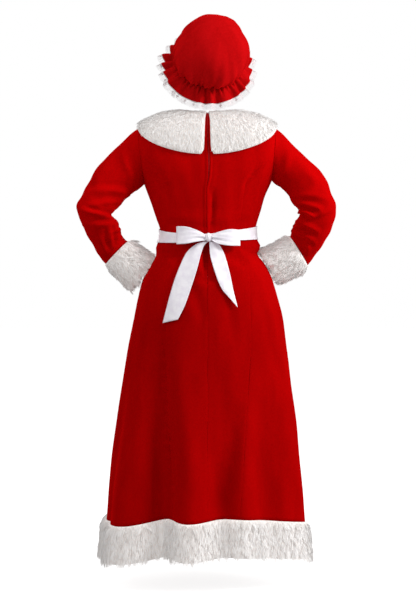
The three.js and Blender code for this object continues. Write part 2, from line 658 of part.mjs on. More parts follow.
// The crown is turned from its profile, then widened into an oval and leaned back.
function crown() {
  const outside = CAP_PROFILE.map(({ radius, rise }) => new THREE.Vector2(radius, rise));
  const inside = outside.map((p, i) => {
    const before = outside[Math.max(i - 1, 0)];
    const after = outside[Math.min(i + 1, outside.length - 1)];
    const tangent = after.clone().sub(before).normalize();
    const onAxis = p.x === 0;
    return onAxis
      ? new THREE.Vector2(0, p.y - VELVET_THICK)
      : new THREE.Vector2(p.x - tangent.y * VELVET_THICK, p.y + tangent.x * VELVET_THICK);
  });
  const turned = new THREE.LatheGeometry([...inside.reverse(), ...outside], CAP.segments);
  const position = turned.getAttribute("position");
  for (let i = 0; i < position.count; i += 1) {
    const [x, y, z] = [position.getX(i), position.getY(i), position.getZ(i)];
    const p = capPoint((x * CAP.halfWidth) / CAP.mean, (z * CAP.halfLength) / CAP.mean, y);
    position.setXYZ(i, p.x, p.y, p.z);
  }
  return turned;
}
add("cap_crown", crown(), VELVET());

// A gathered frill from the cap's line outwards: distances are along the cloth.
function frill(from, to, rows, scallop) {
  return Array.from({ length: rows + 1 }, (_, r) =>
    Array.from({ length: CAP.steps }, (_unused, i) => {
      const at = (360 * i) / CAP.steps;
      const [c, s] = [Math.cos(rad(at)), Math.sin(rad(at))];
      const inPlane = vec(CAP.halfLength * c, CAP.halfWidth * s, 0).normalize();
      const out = capSide.clone().multiplyScalar(inPlane.x).addScaledVector(capFore, inPlane.y);
      const flare = rad(CAP.flare);
      const down = out.clone().multiplyScalar(Math.sin(flare)).addScaledVector(capUp, -Math.cos(flare));
      const away = out.clone().multiplyScalar(Math.cos(flare)).addScaledVector(capUp, Math.sin(flare));
      const lower = r === rows && i % 2 ? scallop : 0;
      const length = mix(from, to, r / rows) + lower;
      const uneven = 1 + 0.3 * Math.sin(rad(3 * at + 40)) + 0.2 * Math.sin(rad(7 * at));
      const calm = 1 - CAP.napeCalm * ease(-s * 2 - 0.6);
      const wave = CAP.waveAtEdge * ease(length / CAP.ruffle) * uneven * calm * Math.sin(rad(CAP.waves * at));
      return capPoint(CAP.halfWidth * c, CAP.halfLength * s, -0.6)
        .addScaledVector(down, length)
        .addScaledVector(away, wave);
    }),
  );
}
add("cap_ruffle", sheet(frill(0, CAP.ruffle, 2, 0), VELVET_THICK * 0.8, true), VELVET());
add("cap_lace", sheet(frill(CAP.ruffle + SEAM_GAP, CAP.ruffle + CAP.lace, 1, 3), LACE_THICK, true), LACE());

export default costume;
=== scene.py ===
"""A christmas costume dress, seen from behind: red velvet, white fur, a satin bow and its mob cap."""

import math

import bmesh
import bpy
import numpy as np
from mathutils.kdtree import KDTree
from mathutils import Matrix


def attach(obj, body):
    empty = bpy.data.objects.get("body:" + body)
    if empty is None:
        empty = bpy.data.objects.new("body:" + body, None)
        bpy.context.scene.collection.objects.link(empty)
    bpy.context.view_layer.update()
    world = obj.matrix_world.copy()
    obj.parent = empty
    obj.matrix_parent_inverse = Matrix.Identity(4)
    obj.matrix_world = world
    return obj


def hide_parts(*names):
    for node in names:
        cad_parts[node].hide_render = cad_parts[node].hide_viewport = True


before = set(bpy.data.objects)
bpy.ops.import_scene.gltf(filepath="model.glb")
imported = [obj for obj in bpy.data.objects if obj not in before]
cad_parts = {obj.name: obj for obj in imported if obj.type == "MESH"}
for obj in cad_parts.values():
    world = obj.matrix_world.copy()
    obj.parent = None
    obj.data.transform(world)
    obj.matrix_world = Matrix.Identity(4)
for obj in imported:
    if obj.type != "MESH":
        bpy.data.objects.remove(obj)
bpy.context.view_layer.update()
chance = np.random.default_rng(24)

# Lengths are millimetres and heights are above the floor, until in_frame turns them to metres
# from the shoulders. Angles go round the dress from its own left side (0) by the back (90).
SHOULDER_HEIGHT = 1440
VELVET_THICK = 1.6
SATIN_THICK = 1.0
LACE_THICK = 0.5
THREAD = 0.6
SEAM_LAP = 0.3
# A sheet's stated area is at least this share of its width times its length.
LEAST_SHARE = 0.31


def rows(names, *values):
    """A table, as a column for each name."""
    return dict(zip(names.split(), np.array(values, float).T))


# The dress surface, a row for each section.
BODY = rows(
    "level side behind before left right back front square seam",
    (70, 70, 70, 70, 324, 288, 252, 242, 2, 71),
    (215, 215, 215, 215, 310, 277, 238, 230, 2, 70),
    (300, 300, 300, 300, 304, 274, 226, 219, 2, 68.5),
    (400, 400, 400, 400, 295, 270, 212, 205, 2, 66.5),
    (510, 510, 510, 510, 280, 268, 195, 188, 2, 64.5),
    (640, 640, 640, 640, 260, 257, 176, 166, 2, 60.5),
    (720, 720, 720, 720, 247, 247, 166, 153, 2, 58),
    (810, 810, 810, 810, 229, 235, 154, 139, 2, 55.5),
    (870, 870, 870, 870, 217, 220, 145, 129, 2, 53.5),
    (940, 940, 940, 940, 198, 199, 131, 119, 2, 50),
    (975, 975, 975, 975, 178, 182, 122, 114, 2, 48.5),
    (1007, 1007, 1007, 1007, 160, 160, 111, 109, 2.05, 48),
    (1040, 1040, 1040, 1040, 153, 153, 100, 104, 2.1, 48),
    (1070, 1070, 1070, 1070, 147, 150, 93, 98, 2.1, 48.5),
    (1094, 1094, 1094, 1094, 148, 150, 91, 97, 2.1, 49.5),
    (1116, 1116, 1116, 1116, 156, 155, 93, 101, 2.15, 50.5),
    (1148, 1148, 1148, 1148, 167, 165, 98, 111, 2.2, 52),
    (1190, 1190, 1190, 1190, 181, 177, 106, 127, 2.3, 53.5),
    (1235, 1235, 1235, 1235, 198, 197, 113, 134, 2.5, 54),
    (1275, 1275, 1270, 1266, 214, 212, 116, 130, 2.8, 47),
    (1315, 1318, 1305, 1298, 224, 222, 116, 120, 3, 36.5),
    (1355, 1366, 1338, 1323, 226, 224, 113, 109, 3, 34),
    (1390, 1399, 1371, 1344, 213, 211, 107, 99, 2.8, 34),
    (1420, 1417, 1399, 1359, 190, 189, 98, 92, 2.6, 34),
    (1465, 1437, 1423, 1373, 148, 148, 84, 85, 2.3, 34),
    (1500, 1446, 1437, 1381, 108, 108, 70, 79, 2.1, 34),
    (1530, 1452, 1446, 1387, 74, 74, 57, 74, 2, 34),
)
HEM_LEVEL = 215
HEM_END_LEVEL = 97
NECK_LEVEL = 1530

# Flutes of the skirt and rolls at the waist.
FOLDS = rows(
    "angle lean depth width top full",
    (20, 2, -9, 7, 930, 300),
    (43, 6, 46, 19, 760, 190),
    (63, -10, -58, 12, 900, 200),
    (78, -8, 40, 12, 900, 200),
    (97, 8, -24, 11, 640, 230),
    (113, 0, 14, 10, 760, 260),
    (129, -3, -20, 11, 700, 230),
    (158, -4, 36, 17, 820, 210),
    (176, 0, -8, 7, 900, 300),
    (206, 3, -26, 13, 780, 210),
    (232, 4, 32, 15, 820, 210),
    (257, 0, -26, 13, 720, 210),
    (282, 0, 26, 14, 780, 210),
    (307, -4, -28, 13, 740, 210),
    (332, -3, 26, 14, 820, 210),
)
ROLLS = rows(
    "angle spread height reach depth",
    (180, 62, 1038, 17, 11),
    (180, 50, 1012, 12, -5),
    (0, 48, 1034, 16, 6),
    (90, 60, 1116, 16, 4),
)
HEM_LINE = rows(
    "angle drop",
    (0, -21),
    (22, -20),
    (44, -19),
    (66, 3),
    (80, -4),
    (103, 6),
    (129, -3),
    (150, -13),
    (166, -20),
    (190, -12),
    (220, -5),
    (255, 3),
    (285, -4),
    (315, 2),
    (340, -14),
    (360, -21),
)
HEM_LINE_FADE = 260

ARMHOLE = {"left": (1229, 1418), "right": (1240, 1418)}
ARMHOLE_SPREAD = 34

SLEEVES = {
    "left": rows(
        "outerX outerZ innerX innerZ y depth",
        (236, 1386, 208, 1218, 2, 68),
        (290, 1334, 223, 1208, 8, 64),
        (336, 1287, 247, 1190, 18, 61),
        (364, 1238, 275, 1157, 30, 58),
        (385, 1195, 291, 1139, 41, 56),
        (402, 1157, 295, 1127, 46, 54),
        (391, 1119, 280, 1119, 43, 54),
        (374, 1077, 273, 1104, 32, 52),
        (352, 1036, 269, 1082, 18, 49),
        (335, 1004, 262, 1064, 3, 47),
        (316, 982, 249, 1052, -10, 46),
    ),
    "right": rows(
        "outerX outerZ innerX innerZ y depth",
        (232, 1385, 209, 1230, 2, 68),
        (284, 1331, 223, 1222, 8, 64),
        (330, 1289, 247, 1200, 18, 61),
        (363, 1249, 263, 1168, 30, 58),
        (379, 1203, 278, 1150, 41, 56),
        (394, 1161, 283, 1134, 46, 54),
        (392, 1127, 274, 1116, 43, 54),
        (381, 1088, 265, 1099, 32, 52),
        (361, 1048, 259, 1085, 18, 49),
        (337, 1012, 260, 1075, 3, 47),
        (311, 978, 256, 1067, -10, 46),
    ),
}
CUFFS = {
    "left": rows(
        "outerX outerZ innerX innerZ y depth",
        (322.4, 974.2, 241.6, 1058.4, -11, 55),
        (305, 957, 227, 1056, -15, 61),
        (276, 930, 199, 1034, -22, 63),
        (245, 901, 168, 1011, -30, 61),
        (237, 904, 165, 1003, -32, 55),
    ),
    "right": rows(
        "outerX outerZ innerX innerZ y depth",
        (315.6, 968.4, 250.6, 1074.8, -11, 55),
        (298, 952, 238, 1068, -15, 61),
        (266, 935, 206, 1050, -22, 63),
        (231, 921, 165, 1030, -30, 61),
        (224, 926, 162, 1024, -32, 55),
    ),
}
FUR_PILE = 15

ZIP = {
    "bottom": 905,
    "top": 1526,
    "slot": 2.65,
    "closed": 0.1,
    "pitch": 2.2,
    "tape_wide": 7.7,
    "tape_thick": 0.6,
}
# Where the lips of the zip meet over it, and how far its line strays from the middle.
ZIP_LINE = rows(
    "level open aside",
    (905, 0, 0),
    (1070, 0, 1),
    (1110, 0, 3.4),
    (1210, 0, 3.2),
    (1240, 0.5, -2.5),
    (1300, 1, -4.4),
    (1360, 1, -2.5),
    (1430, 1, 0),
    (1530, 1, 0),
)

COLLAR_EDGE = {"back": 1325, "front": 1292, "side": 1403}
COLLAR_CLEARANCE = 1.4
COLLAR_OVER_SLEEVE = 6
COLLAR_ROWS = rows(
    "across pile gap",
    (0, 5, 4),
    (0.1, 10, 4.5),
    (0.25, 13.5, 6),
    (0.42, 15, 8),
    (0.6, 15, 8.5),
    (0.78, 14, 9.5),
    (0.94, 11, 12),
    (1, 5, 19),
)
HEM_FUR_ROWS = rows(
    "down pile",
    (0, 5),
    (0.1, 12),
    (0.5, 16),
    (0.92, 16),
    (1, 8),
)
BACKING_THICK = 2

SASH = rows(
    "angle middle half",
    (0, 1069.5, 22),
    (50, 1060, 15.5),
    (90, 1061, 11),
    (130, 1069, 17),
    (180, 1078.5, 21.5),
    (230, 1077, 23),
    (270, 1075, 23),
    (310, 1072, 23),
    (360, 1069.5, 22),
)
SASH_CLEARANCE = 2.2
KNOT = {"x": -3, "y": 108.5, "z": 1061, "rx": 9, "ry": 9, "rz": 13.5}
LOOPS = {
    "left": rows(
        "x off z half",
        (6.4, 8.5, 1061, 9),
        (32, 8.5, 1065, 17),
        (62, 11, 1067.5, 25),
        (86, 17, 1067.5, 27),
        (94, 23, 1067.5, 27),
        (88, 29, 1067.5, 27),
        (62, 29, 1067.5, 25.5),
        (32, 23, 1065.5, 17.5),
        (6.4, 16, 1061, 9),
    ),
    "right": rows(
        "x off z half",
        (-12.4, 8.5, 1061, 9),
        (-36, 8.5, 1060, 18),
        (-66, 11, 1060.5, 24),
        (-91, 17, 1060, 24.5),
        (-99, 23, 1060, 24.5),
        (-93, 29, 1060, 24.5),
        (-66, 29, 1060.5, 25),
        (-36, 23, 1059.5, 19),
        (-12.4, 16, 1061, 9),
    ),
}
TAILS = {
    "left": rows(
        "x z half slant off",
        (6, 1045.3, 7, 0, 9),
        (24, 1034, 13, 2, 8),
        (41, 1009, 21, 4, 6),
        (56, 968, 25, 6, 5),
        (72, 922, 26, 7, 4.5),
        (90, 866, 24.5, 8, 4.5),
        (110, 806, 23, -5, 5),
    ),
    "right": rows(
        "x z half slant off",
        (-12.5, 1045.7, 7, 0, 9),
        (-20, 1034, 14, -3, 8),
        (-29, 1004, 20, -5, 6),
        (-44, 952, 22, 1, 5),
        (-56, 908, 21, 10, 5),
        (-67, 873, 22, 26, 6),
    ),
}

CAP = {"x": -2, "y": 17.6, "z": 1607.6, "half_width": 95, "half_length": 112, "lean": 52, "swing": 4}
CAP_MEAN = 112
CAP_TOP_SHIFT = -27
RUFFLE = 50
TUCKED_IN = 4
LACE = 20
RUFFLE_FLARE = 52
RUFFLE_WAVES = 22
# How much more cloth the crown has than its puffed form shows, drawn up in its gathers.
CAP_PROFILE = rows(
    "radius rise",
    (112, 0),
    (125, 9),
    (135, 34),
    (130, 64),
    (110, 93),
    (80, 116),
    (44, 131),
    (0, 137),
)

# Creases in the velvet. Each runs from (x0, z0) to (x2, z2), bent towards (x1, z1), as a soft trough
# so wide and deep with a low ridge beside it. Facing is 1 on the back and -1 on the front.
BODY_CREASES = rows(
    "facing x0 z0 x1 z1 x2 z2 width depth",
    (1, -96, 1040, -128, 1016, -160, 1022, 8, 6),
    (1, -100, 1050, -130, 1046, -162, 1034, 6, 4),
    (1, -48, 1016, -88, 984, -128, 992, 12, 5),
    (1, -86, 972, -108, 982, -132, 1004, 9, 4),
    (1, 7, 1066, 4, 1012, 4, 940, 12, 13),
    (1, 42, 962, 6, 908, -34, 956, 11, 5),
    (1, 130, 1030, 96, 1012, 56, 968, 15, 5),
    (1, 152, 1022, 128, 1006, 96, 1000, 8, 4),
    (1, 110, 1046, 80, 1030, 60, 1034, 8, 3),
    (1, -14, 1206, -22, 1150, -10, 1078, 7, 7),
    (1, -164, 1296, -138, 1256, -108, 1208, 7, 3.5),
    (1, -176, 1282, -150, 1262, -132, 1232, 6, 2.5),
    (1, -166, 1228, -162, 1212, -158, 1196, 6, 2.5),
    (1, 176, 1262, 150, 1236, 124, 1180, 8, 2.5),
    (1, 182, 1232, 168, 1200, 158, 1172, 6, 2.5),
    (1, 128, 1100, 96, 1112, 58, 1104, 9, 2.5),
    (1, -140, 1110, -104, 1118, -66, 1106, 9, 2.5),
    (1, 60, 940, 30, 880, 10, 800, 18, 4),
    (1, 94, 222, 134, 500, 136, 812, 9, 5),
    (1, -34, 226, -50, 400, -106, 560, 26, 6),
    (1, -60, 890, -76, 830, -70, 740, 20, 5),
    (-1, -60, 1050, -100, 1032, -150, 1030, 9, 5),
    (-1, 40, 1046, 96, 1024, 152, 1026, 10, 5),
    (-1, -20, 1012, -70, 990, -120, 1000, 12, 5),
    (-1, 8, 1000, 60, 976, 108, 992, 12, 4),
    (-1, -34, 946, 4, 912, 44, 950, 12, 4),
    (-1, -168, 1270, -132, 1240, -92, 1226, 9, 4),
    (-1, 170, 1264, 130, 1232, 88, 1220, 9, 4),
    (-1, -150, 1180, -120, 1150, -80, 1130, 9, 3),
    (-1, 150, 1176, 112, 1144, 76, 1128, 9, 3),
    (-1, -20, 1120, 10, 1112, 44, 1122, 8, 2.5),
)
# The sleeves' creases spread from the inside of the elbow, the same on both faces of a sleeve.
SLEEVE_CREASES = {
    "left": rows(
        "x0 z0 x1 z1 x2 z2 width depth",
        (288, 1122, 330, 1128, 392, 1150, 7, 11),
        (236, 1198, 300, 1212, 372, 1196, 11, 6),
        (262, 1174, 310, 1172, 388, 1146, 9, 5),
        (300, 1098, 304, 1064, 288, 1026, 7, 5),
        (284, 1106, 276, 1070, 282, 1040, 5, 4),
        (280, 1110, 330, 1096, 386, 1108, 9, 6),
        (330, 1070, 326, 1040, 306, 1010, 9, 4),
        (224, 1232, 250, 1280, 262, 1330, 10, 3),
        (262, 1092, 282, 1086, 300, 1074, 5, 4),
        (352, 1234, 330, 1260, 300, 1278, 12, 3),
    ),
    "right": rows(
        "x0 z0 x1 z1 x2 z2 width depth",
        (-268, 1170, -310, 1162, -352, 1142, 8, 9),
        (-256, 1186, -320, 1196, -376, 1172, 10, 5),
        (-280, 1142, -300, 1146, -326, 1118, 7, 12),
        (-266, 1112, -304, 1108, -344, 1074, 8, 8),
        (-262, 1084, -300, 1078, -336, 1040, 8, 6),
        (-262, 1098, -280, 1096, -296, 1088, 5, 5),
        (-300, 1058, -312, 1036, -306, 1006, 8, 4),
        (-222, 1244, -246, 1290, -250, 1340, 10, 3),
        (-330, 1222, -316, 1250, -290, 1272, 13, 3),
        (-380, 1150, -350, 1128, -320, 1130, 9, 4),
    ),
}
CREASE_STEPS = 18
CREASE_STRENGTH = 1.5


def ease(value):
    t = np.clip(value, 0, 1)
    return t * t * (3 - 2 * t)


def mix(a, b, t):
    return a + (b - a) * t


def hump(value):
    return np.exp(-value * value)


def unit(vectors):
    return vectors / np.maximum(np.linalg.norm(vectors, axis=-1, keepdims=True), 1e-9)


def curve(t, start, end, leaving, arriving):
    """From start to end as t goes from 0 to 1, with the slopes given at both."""
    t2 = t * t
    t3 = t2 * t
    ends = (2 * t3 - 3 * t2 + 1) * start + (3 * t2 - 2 * t3) * end
    return ends + (t3 - 2 * t2 + t) * leaving + (t3 - t2) * arriving


def along(table, key, at, column):
    """The value of a column between the rows of a table, on a smooth curve through them."""
    keys, values = table[key], table[column]
    i = np.clip(np.searchsorted(keys, at, side="left") - 1, 0, len(keys) - 2)
    index = np.arange(len(keys))
    before = np.maximum(index - 1, 0)
    after = np.minimum(index + 1, len(keys) - 1)
    slope = (values[after] - values[before]) / (keys[after] - keys[before])
    span = keys[i + 1] - keys[i]
    t = np.clip((at - keys[i]) / span, 0, 1)
    return curve(t, values[i], values[i + 1], span * slope[i], span * slope[i + 1])


def by_row(table, at, column):
    """The value of a column at a place counted in rows."""
    counted = {"row": np.arange(len(table[column]), dtype=float), column: table[column]}
    return along(counted, "row", at, column)


def apart(a, b):
    return np.abs((a - b + 180) % 360 - 180)


def hem_drop(angle):
    return along(HEM_LINE, "angle", angle % 360, "drop")


def dropped(angle, level):
    return level + hem_drop(angle) * (1 - ease((level - HEM_LEVEL) / HEM_LINE_FADE))


def fold_depth(angle, level):
    depth = np.zeros(np.shape(angle))
    for middle, lean, out, width, top, full in zip(*FOLDS.values()):
        line = middle + lean * ease((level - full) / (top - full))
        depth += out * ease((top - level) / (top - full)) * hump(apart(angle, line) / width)
    for middle, spread, height, reach, out in zip(*ROLLS.values()):
        near = np.maximum(0, 1 - (apart(angle, middle) / spread) ** 2)
        depth += out * near * hump((level - height) / reach)
    return depth


def dress_point(angle, level):
    """A point of the dress surface at an angle round it and a level of the table."""
    angle, level = np.broadcast_arrays(np.asarray(angle, float), np.asarray(level, float))
    at = {name: along(BODY, "level", level, name) for name in BODY}
    c = np.cos(np.radians(angle))
    s = np.sin(np.radians(angle))
    squared = (np.abs(c) ** at["square"] + np.abs(s) ** at["square"]) ** (-1 / at["square"])
    wide = np.where(c > 0, at["left"], at["right"])
    deep = np.where(s > 0, at["back"], at["front"])
    end = np.where(s > 0, at["behind"], at["before"])
    point = np.stack([wide * squared * c, deep * squared * s, mix(end, at["side"], c * c)], -1)
    out = unit(np.stack([c / wide, s / deep, 0 * c], -1))
    return point + out * fold_depth(angle, level)[..., None]


def one_degree(angle, level):
    """The way that the dress surface goes in one degree round it."""
    return dress_point(angle + 0.5, level) - dress_point(angle - 0.5, level)


def dress_normal(angle, level):
    up = dress_point(angle, level + 2) - dress_point(angle, level - 2)
    return unit(np.cross(one_degree(angle, level), up))


def on_dress(angle, level, off):
    return dress_point(angle, level) + dress_normal(angle, level) * np.asarray(off)[..., None]


def step(angle, level, distance):
    """The angle that lies so many millimetres further round from this one."""
    return angle + distance / np.linalg.norm(one_degree(angle, level), axis=-1)


def back_angle(x, level):
    """The angle on the back of the dress at a distance x from its middle."""
    low = np.zeros(np.shape(x))
    high = np.full(np.shape(x), 180.0)
    for _ in range(24):
        middle = (low + high) / 2
        beyond = dress_point(middle, level)[..., 0] > x
        low = np.where(beyond, middle, low)
        high = np.where(beyond, high, middle)
    return (low + high) / 2


def crease_depth(points, facing, lines):
    """How far out creases push points that face the back (1) or the front (-1)."""
    flat = points[:, [0, 2]]
    total = np.zeros(len(points))
    t = np.linspace(0, 1, CREASE_STEPS)[:, None]
    for x0, z0, x1, z1, x2, z2, width, depth in lines:
        start, bend, end = np.array([x0, z0]), np.array([x1, z1]), np.array([x2, z2])
        line = (1 - t) ** 2 * start + 2 * t * (1 - t) * bend + t * t * end
        ahead = unit(np.gradient(line, axis=0))
        gap = flat[:, None] - line
        nearest = np.argmin((gap**2).sum(-1), 1)
        gap = gap[np.arange(len(flat)), nearest]
        ahead = ahead[nearest]
        side = (ahead[:, 0] * gap[:, 1] - ahead[:, 1] * gap[:, 0]) / width
        fade = np.sin(np.pi * nearest / (CREASE_STEPS - 1)) ** 0.7
        away = np.linalg.norm(gap, axis=-1) / width
        ridge = 0.4 * hump(side - 1.9) * hump(away / 3)
        total += depth * fade * (ridge - hump(away))
    return CREASE_STRENGTH * total * ease(facing * points[:, 1] / 30 + 0.5)


def body_creases(points, facing):
    """How far out the dress's creases push points, each facing the back (1) or the front (-1)."""
    total = np.zeros(len(points))
    for side in (1, -1):
        lines = [row[1:] for row in zip(*BODY_CREASES.values()) if row[0] == side]
        total += np.where(facing == side, crease_depth(points, side, lines), 0)
    return total


def in_frame(points):
    """Millimetres above the floor, as metres in the frame."""
    return (points - [0, 0, SHOULDER_HEIGHT]) * 0.001


def linear(colour):
    """A sRGB hex colour, as linear red, green, blue and alpha."""
    parts = [int(colour[i : i + 2], 16) / 255 for i in (1, 3, 5)]
    return [c / 12.92 if c <= 0.04045 else ((c + 0.055) / 1.055) ** 2.4 for c in parts] + [1]


def node(tree, kind, inputs=None, **settings):
    """Adds a shader node: its settings, and a value or another node's output for each input."""
    made = tree.nodes.new(kind)
    for name, value in settings.items():
        setattr(made, name, value)
    for name, value in (inputs or {}).items():
        if isinstance(value, bpy.types.NodeSocket):
            tree.links.new(value, made.inputs[name])
        else:
            made.inputs[name].default_value = value
    return made


def material(name, shader, shown, build):
    """A material of one Principled shader. What build returns is its colour, and a bump's height and
    its depth in millimetres."""
    made = bpy.data.materials.new(name)
    made.use_nodes = True
    tree = made.node_tree
    tree.nodes.clear()
    colour, height, depth = build(tree)
    given = dict(shader)
    given["Base Color"] = colour
    if depth:
        raised = {"Height": height, "Distance": depth * 0.001, "Strength": 1.0}
        given["Normal"] = node(tree, "ShaderNodeBump", raised).outputs[0]
    principled = node(tree, "ShaderNodeBsdfPrincipled", given)
    node(tree, "ShaderNodeOutputMaterial", {"Surface": principled.outputs[0]})
    made.diffuse_color = linear(shown)
    return made


def blend_colours(tree, factor, low, high):
    """A colour between two others, as hex values or outputs."""
    ends = [linear(c) if isinstance(c, str) else c for c in (low, high)]
    mixed = node(tree, "ShaderNodeMix", {0: factor, 6: ends[0], 7: ends[1]}, data_type="RGBA")
    return mixed.outputs[2]


def noise(tree, vector, size, detail=2.0, rough=0.5, low=0.35, high=0.65):
    """Noise with marks so many millimetres across, stretched between two levels."""
    marks = {"Vector": vector, "Scale": 1000 / size, "Detail": detail, "Roughness": rough}
    raw = node(tree, "ShaderNodeTexNoise", marks)
    ranged = {"Value": raw.outputs[0], "From Min": low, "From Max": high}
    return node(tree, "ShaderNodeMapRange", ranged).outputs[0]


def object_place(tree, stretch=(1, 1, 1)):
    place = node(tree, "ShaderNodeTexCoord").outputs["Object"]
    return node(tree, "ShaderNodeMapping", {"Vector": place, "Scale": stretch}).outputs[0]


def grained(name, shader, shown, colours, size, depth, detail, rough, stretch=(1, 1, 1)):
    """A material with one kind of mark, so many millimetres across and deep, between two colours."""

    def build(tree):
        marks = noise(tree, object_place(tree, stretch), size, detail, rough)
        return blend_colours(tree, marks, *colours), marks, depth

    return material(name, shader, shown, build)


# The heights, in metres, over which the velvet's painted shade on the skirt gives way to its full colour on
# the bodice.
SKIRT_SHADE_HEIGHTS = (-0.62, -0.3)
# A faint painted glow on the white fur and its ground, standing in for light that goes on from fibre to
# fibre.
FUR_PAINTED_GLOW = {"Emission Color": linear("#fff8f4"), "Emission Strength": 0.2}


def velvet(name, deep, bright, skirt_shade=1.0):
    """Polyester panne velvet, knitted and brushed: a matt pile that lights up where it turns away,
    with soft marks where it was crushed and stroked. Its colour is darker on the skirt than on the
    bodice: painted shade."""
    shader = {
        "Roughness": 0.85,
        "Specular IOR Level": 0.0,
        "Sheen Weight": 0.45,
        "Sheen Roughness": 0.4,
        "Sheen Tint": linear("#ff0c0a"),
    }

    def build(tree):
        stroked = noise(tree, object_place(tree, (1, 1, 0.25)), 42, 2, 0.5, 0.3, 0.7)
        crushed = noise(tree, object_place(tree), 7, 3, 0.55, 0.3, 0.7)
        pile = noise(tree, object_place(tree), 1.8, 2, 0.5, 0.3, 0.7)
        broad = blend_colours(tree, stroked, deep, bright)
        fine = blend_colours(tree, crushed, deep, bright)
        height = node(tree, "ShaderNodeSeparateXYZ", {0: object_place(tree)}).outputs[2]
        skirt, bodice = SKIRT_SHADE_HEIGHTS
        ranged = {"Value": height, "From Min": skirt, "From Max": bodice, "To Min": skirt_shade}
        # How much of the colour is kept: less on the skirt, as painted shade.
        upright = node(tree, "ShaderNodeMapRange", ranged).outputs[0]
        scaled = {0: blend_colours(tree, 0.4, broad, fine), "Scale": upright}
        shaded_colour = node(tree, "ShaderNodeVectorMath", scaled, operation="SCALE").outputs[0]
        return shaded_colour, pile, 0.22

    return material(name, shader, bright, build)


def faux_fur():
    """Acrylic faux fur, long pile: each lock is a little lighter or greyer than the next, and darker
    and warmer down at its root, as painted shade deep in the pile."""
    shader = {
        "Roughness": 0.8,
        "Specular IOR Level": 0.2,
        "Sheen Weight": 0.5,
        "Sheen Roughness": 0.5,
        **FUR_PAINTED_GLOW,
    }

    def build(tree):
        own = node(tree, "ShaderNodeUVMap", uv_map="UVMap").outputs[0]
        parts = node(tree, "ShaderNodeSeparateXYZ", {0: own}).outputs
        grown = node(tree, "ShaderNodeMapRange", {"Value": parts[1], "From Max": 0.75}).outputs[0]
        tone = blend_colours(tree, parts[0], "#dcd6d2", "#ffffff")
        # Down at the root the colour is darker and warmer: painted shade deep in the pile.
        root = blend_colours(tree, parts[0], "#bdb3ad", "#f0ebe8")
        return blend_colours(tree, grown, root, tone), None, 0

    return material("acrylic_faux_fur", shader, "#f2eeeb", build)


def satin():
    """Polyester satin ribbon, woven with long floats: smooth and pearly, with fine threads across."""
    shader = {
        "Roughness": 0.42,
        "Specular IOR Level": 0.5,
        "Sheen Weight": 0.15,
        "Sheen Tint": linear("#f3e8ff"),
    }

    def build(tree):
        own = node(tree, "ShaderNodeUVMap", uv_map="UVMap").outputs[0]
        drawn = node(tree, "ShaderNodeMapping", {"Vector": own, "Scale": (0.02, 0.6, 1)}).outputs[0]
        clouds = noise(tree, object_place(tree), 18, 2, 0.5)
        return blend_colours(tree, clouds, "#eee9f2", "#f8f5fa"), noise(tree, drawn, 6, 2, 0.5), 0.12

    return material("polyester_satin_ribbon", shader, "#efeaf3", build)


# The dress velvet keeps 0.74 of its colour on the skirt, as painted shade.
DRESS_VELVET = velvet("panne_velvet", "#a80203", "#bd0304", 0.74)
CAP_VELVET = velvet("cap_velvet", "#a80709", "#c20c10")
FUR = faux_fur()
# The dense short underfur and its knitted backing: tufts painted in soft light and shade, darker than the fur
# as painted shade under it, matt all over.
FUR_GROUND = grained(
    "faux_fur_ground",
    {"Roughness": 0.95, "Specular IOR Level": 0.1, "Sheen Weight": 0.3, **FUR_PAINTED_GLOW},
    "#e6e0dc",
    ("#dfd7d1", "#faf7f5"),
    size=5,
    depth=2.5,
    detail=3,
    rough=0.6,
    stretch=(1, 1, 0.3),
)
SATIN = satin()
# Cotton edging lace: soft matt thread, tinted a little pink as painted light reflected from the velvet beside
# it.
LACE_COTTON = grained(
    "cotton_edging_lace",
    {"Roughness": 0.85, "Specular IOR Level": 0.2, "Sheen Weight": 0.2},
    "#f3eeee",
    ("#d3c6c8", "#efe8e8"),
    size=1.5,
    depth=0.2,
    detail=2,
    rough=0.6,
)
# Woven polyester zip tape, dyed red: a flat close weave.
ZIP_TAPE = grained(
    "woven_zip_tape",
    {"Roughness": 0.6, "Specular IOR Level": 0.35},
    "#b80a10",
    ("#8e0508", "#b80a10"),
    size=1.5,
    depth=0.15,
    detail=1,
    rough=0.5,
    stretch=(3, 1, 1),
)
# Moulded nylon zip coil: smooth, harder and shinier than the cloth round it. Its red is brighter than the
# velvet's, partly as a painted highlight along the zip.
ZIP_NYLON = grained(
    "nylon_zip_coil",
    {"Roughness": 0.5, "Specular IOR Level": 0.12, "IOR": 1.53},
    "#c4161a",
    ("#b80c10", "#d4141a"),
    size=4,
    depth=0,
    detail=1,
    rough=0.5,
)


def put_in_scene(name, data):
    made = bpy.data.objects.new(name, data)
    bpy.context.scene.collection.objects.link(made)
    return made


def piece_of(name, made, finish):
    """An object from a bmesh, smooth, with one material."""
    for face in made.faces:
        face.smooth = True
    mesh = bpy.data.meshes.new(name)
    made.to_mesh(mesh)
    made.free()
    mesh.materials.append(finish)
    return put_in_scene(name, mesh)


def flat_grid(columns, lines):
    """A grid as a bmesh, with u and v of its points, each from 0 to 1."""
    made = bmesh.new()
    made.loops.layers.uv.new("UVMap")
    bmesh.ops.create_grid(made, x_segments=columns, y_segments=lines, size=0.5, calc_uvs=True)
    made.verts.ensure_lookup_table()
    u, v = (np.array([vert.co for vert in made.verts])[:, :2] + 0.5).T
    return made, u, v


def move_to(made, spots):
    for vert, spot in zip(made.verts, in_frame(spots)):
        vert.co = spot


def cut_of(made, spots, columns, lines):
    """A sheet's greatest width and length along its own cloth, and its area, in metres."""
    grid = spots.reshape(lines + 1, columns + 1, 3) * 0.001
    width = np.linalg.norm(np.diff(grid, axis=1), axis=-1).sum(1).max()
    length = np.linalg.norm(np.diff(grid, axis=0), axis=-1).sum(0).max()
    return width, length, sum(face.calc_area() for face in made.faces)


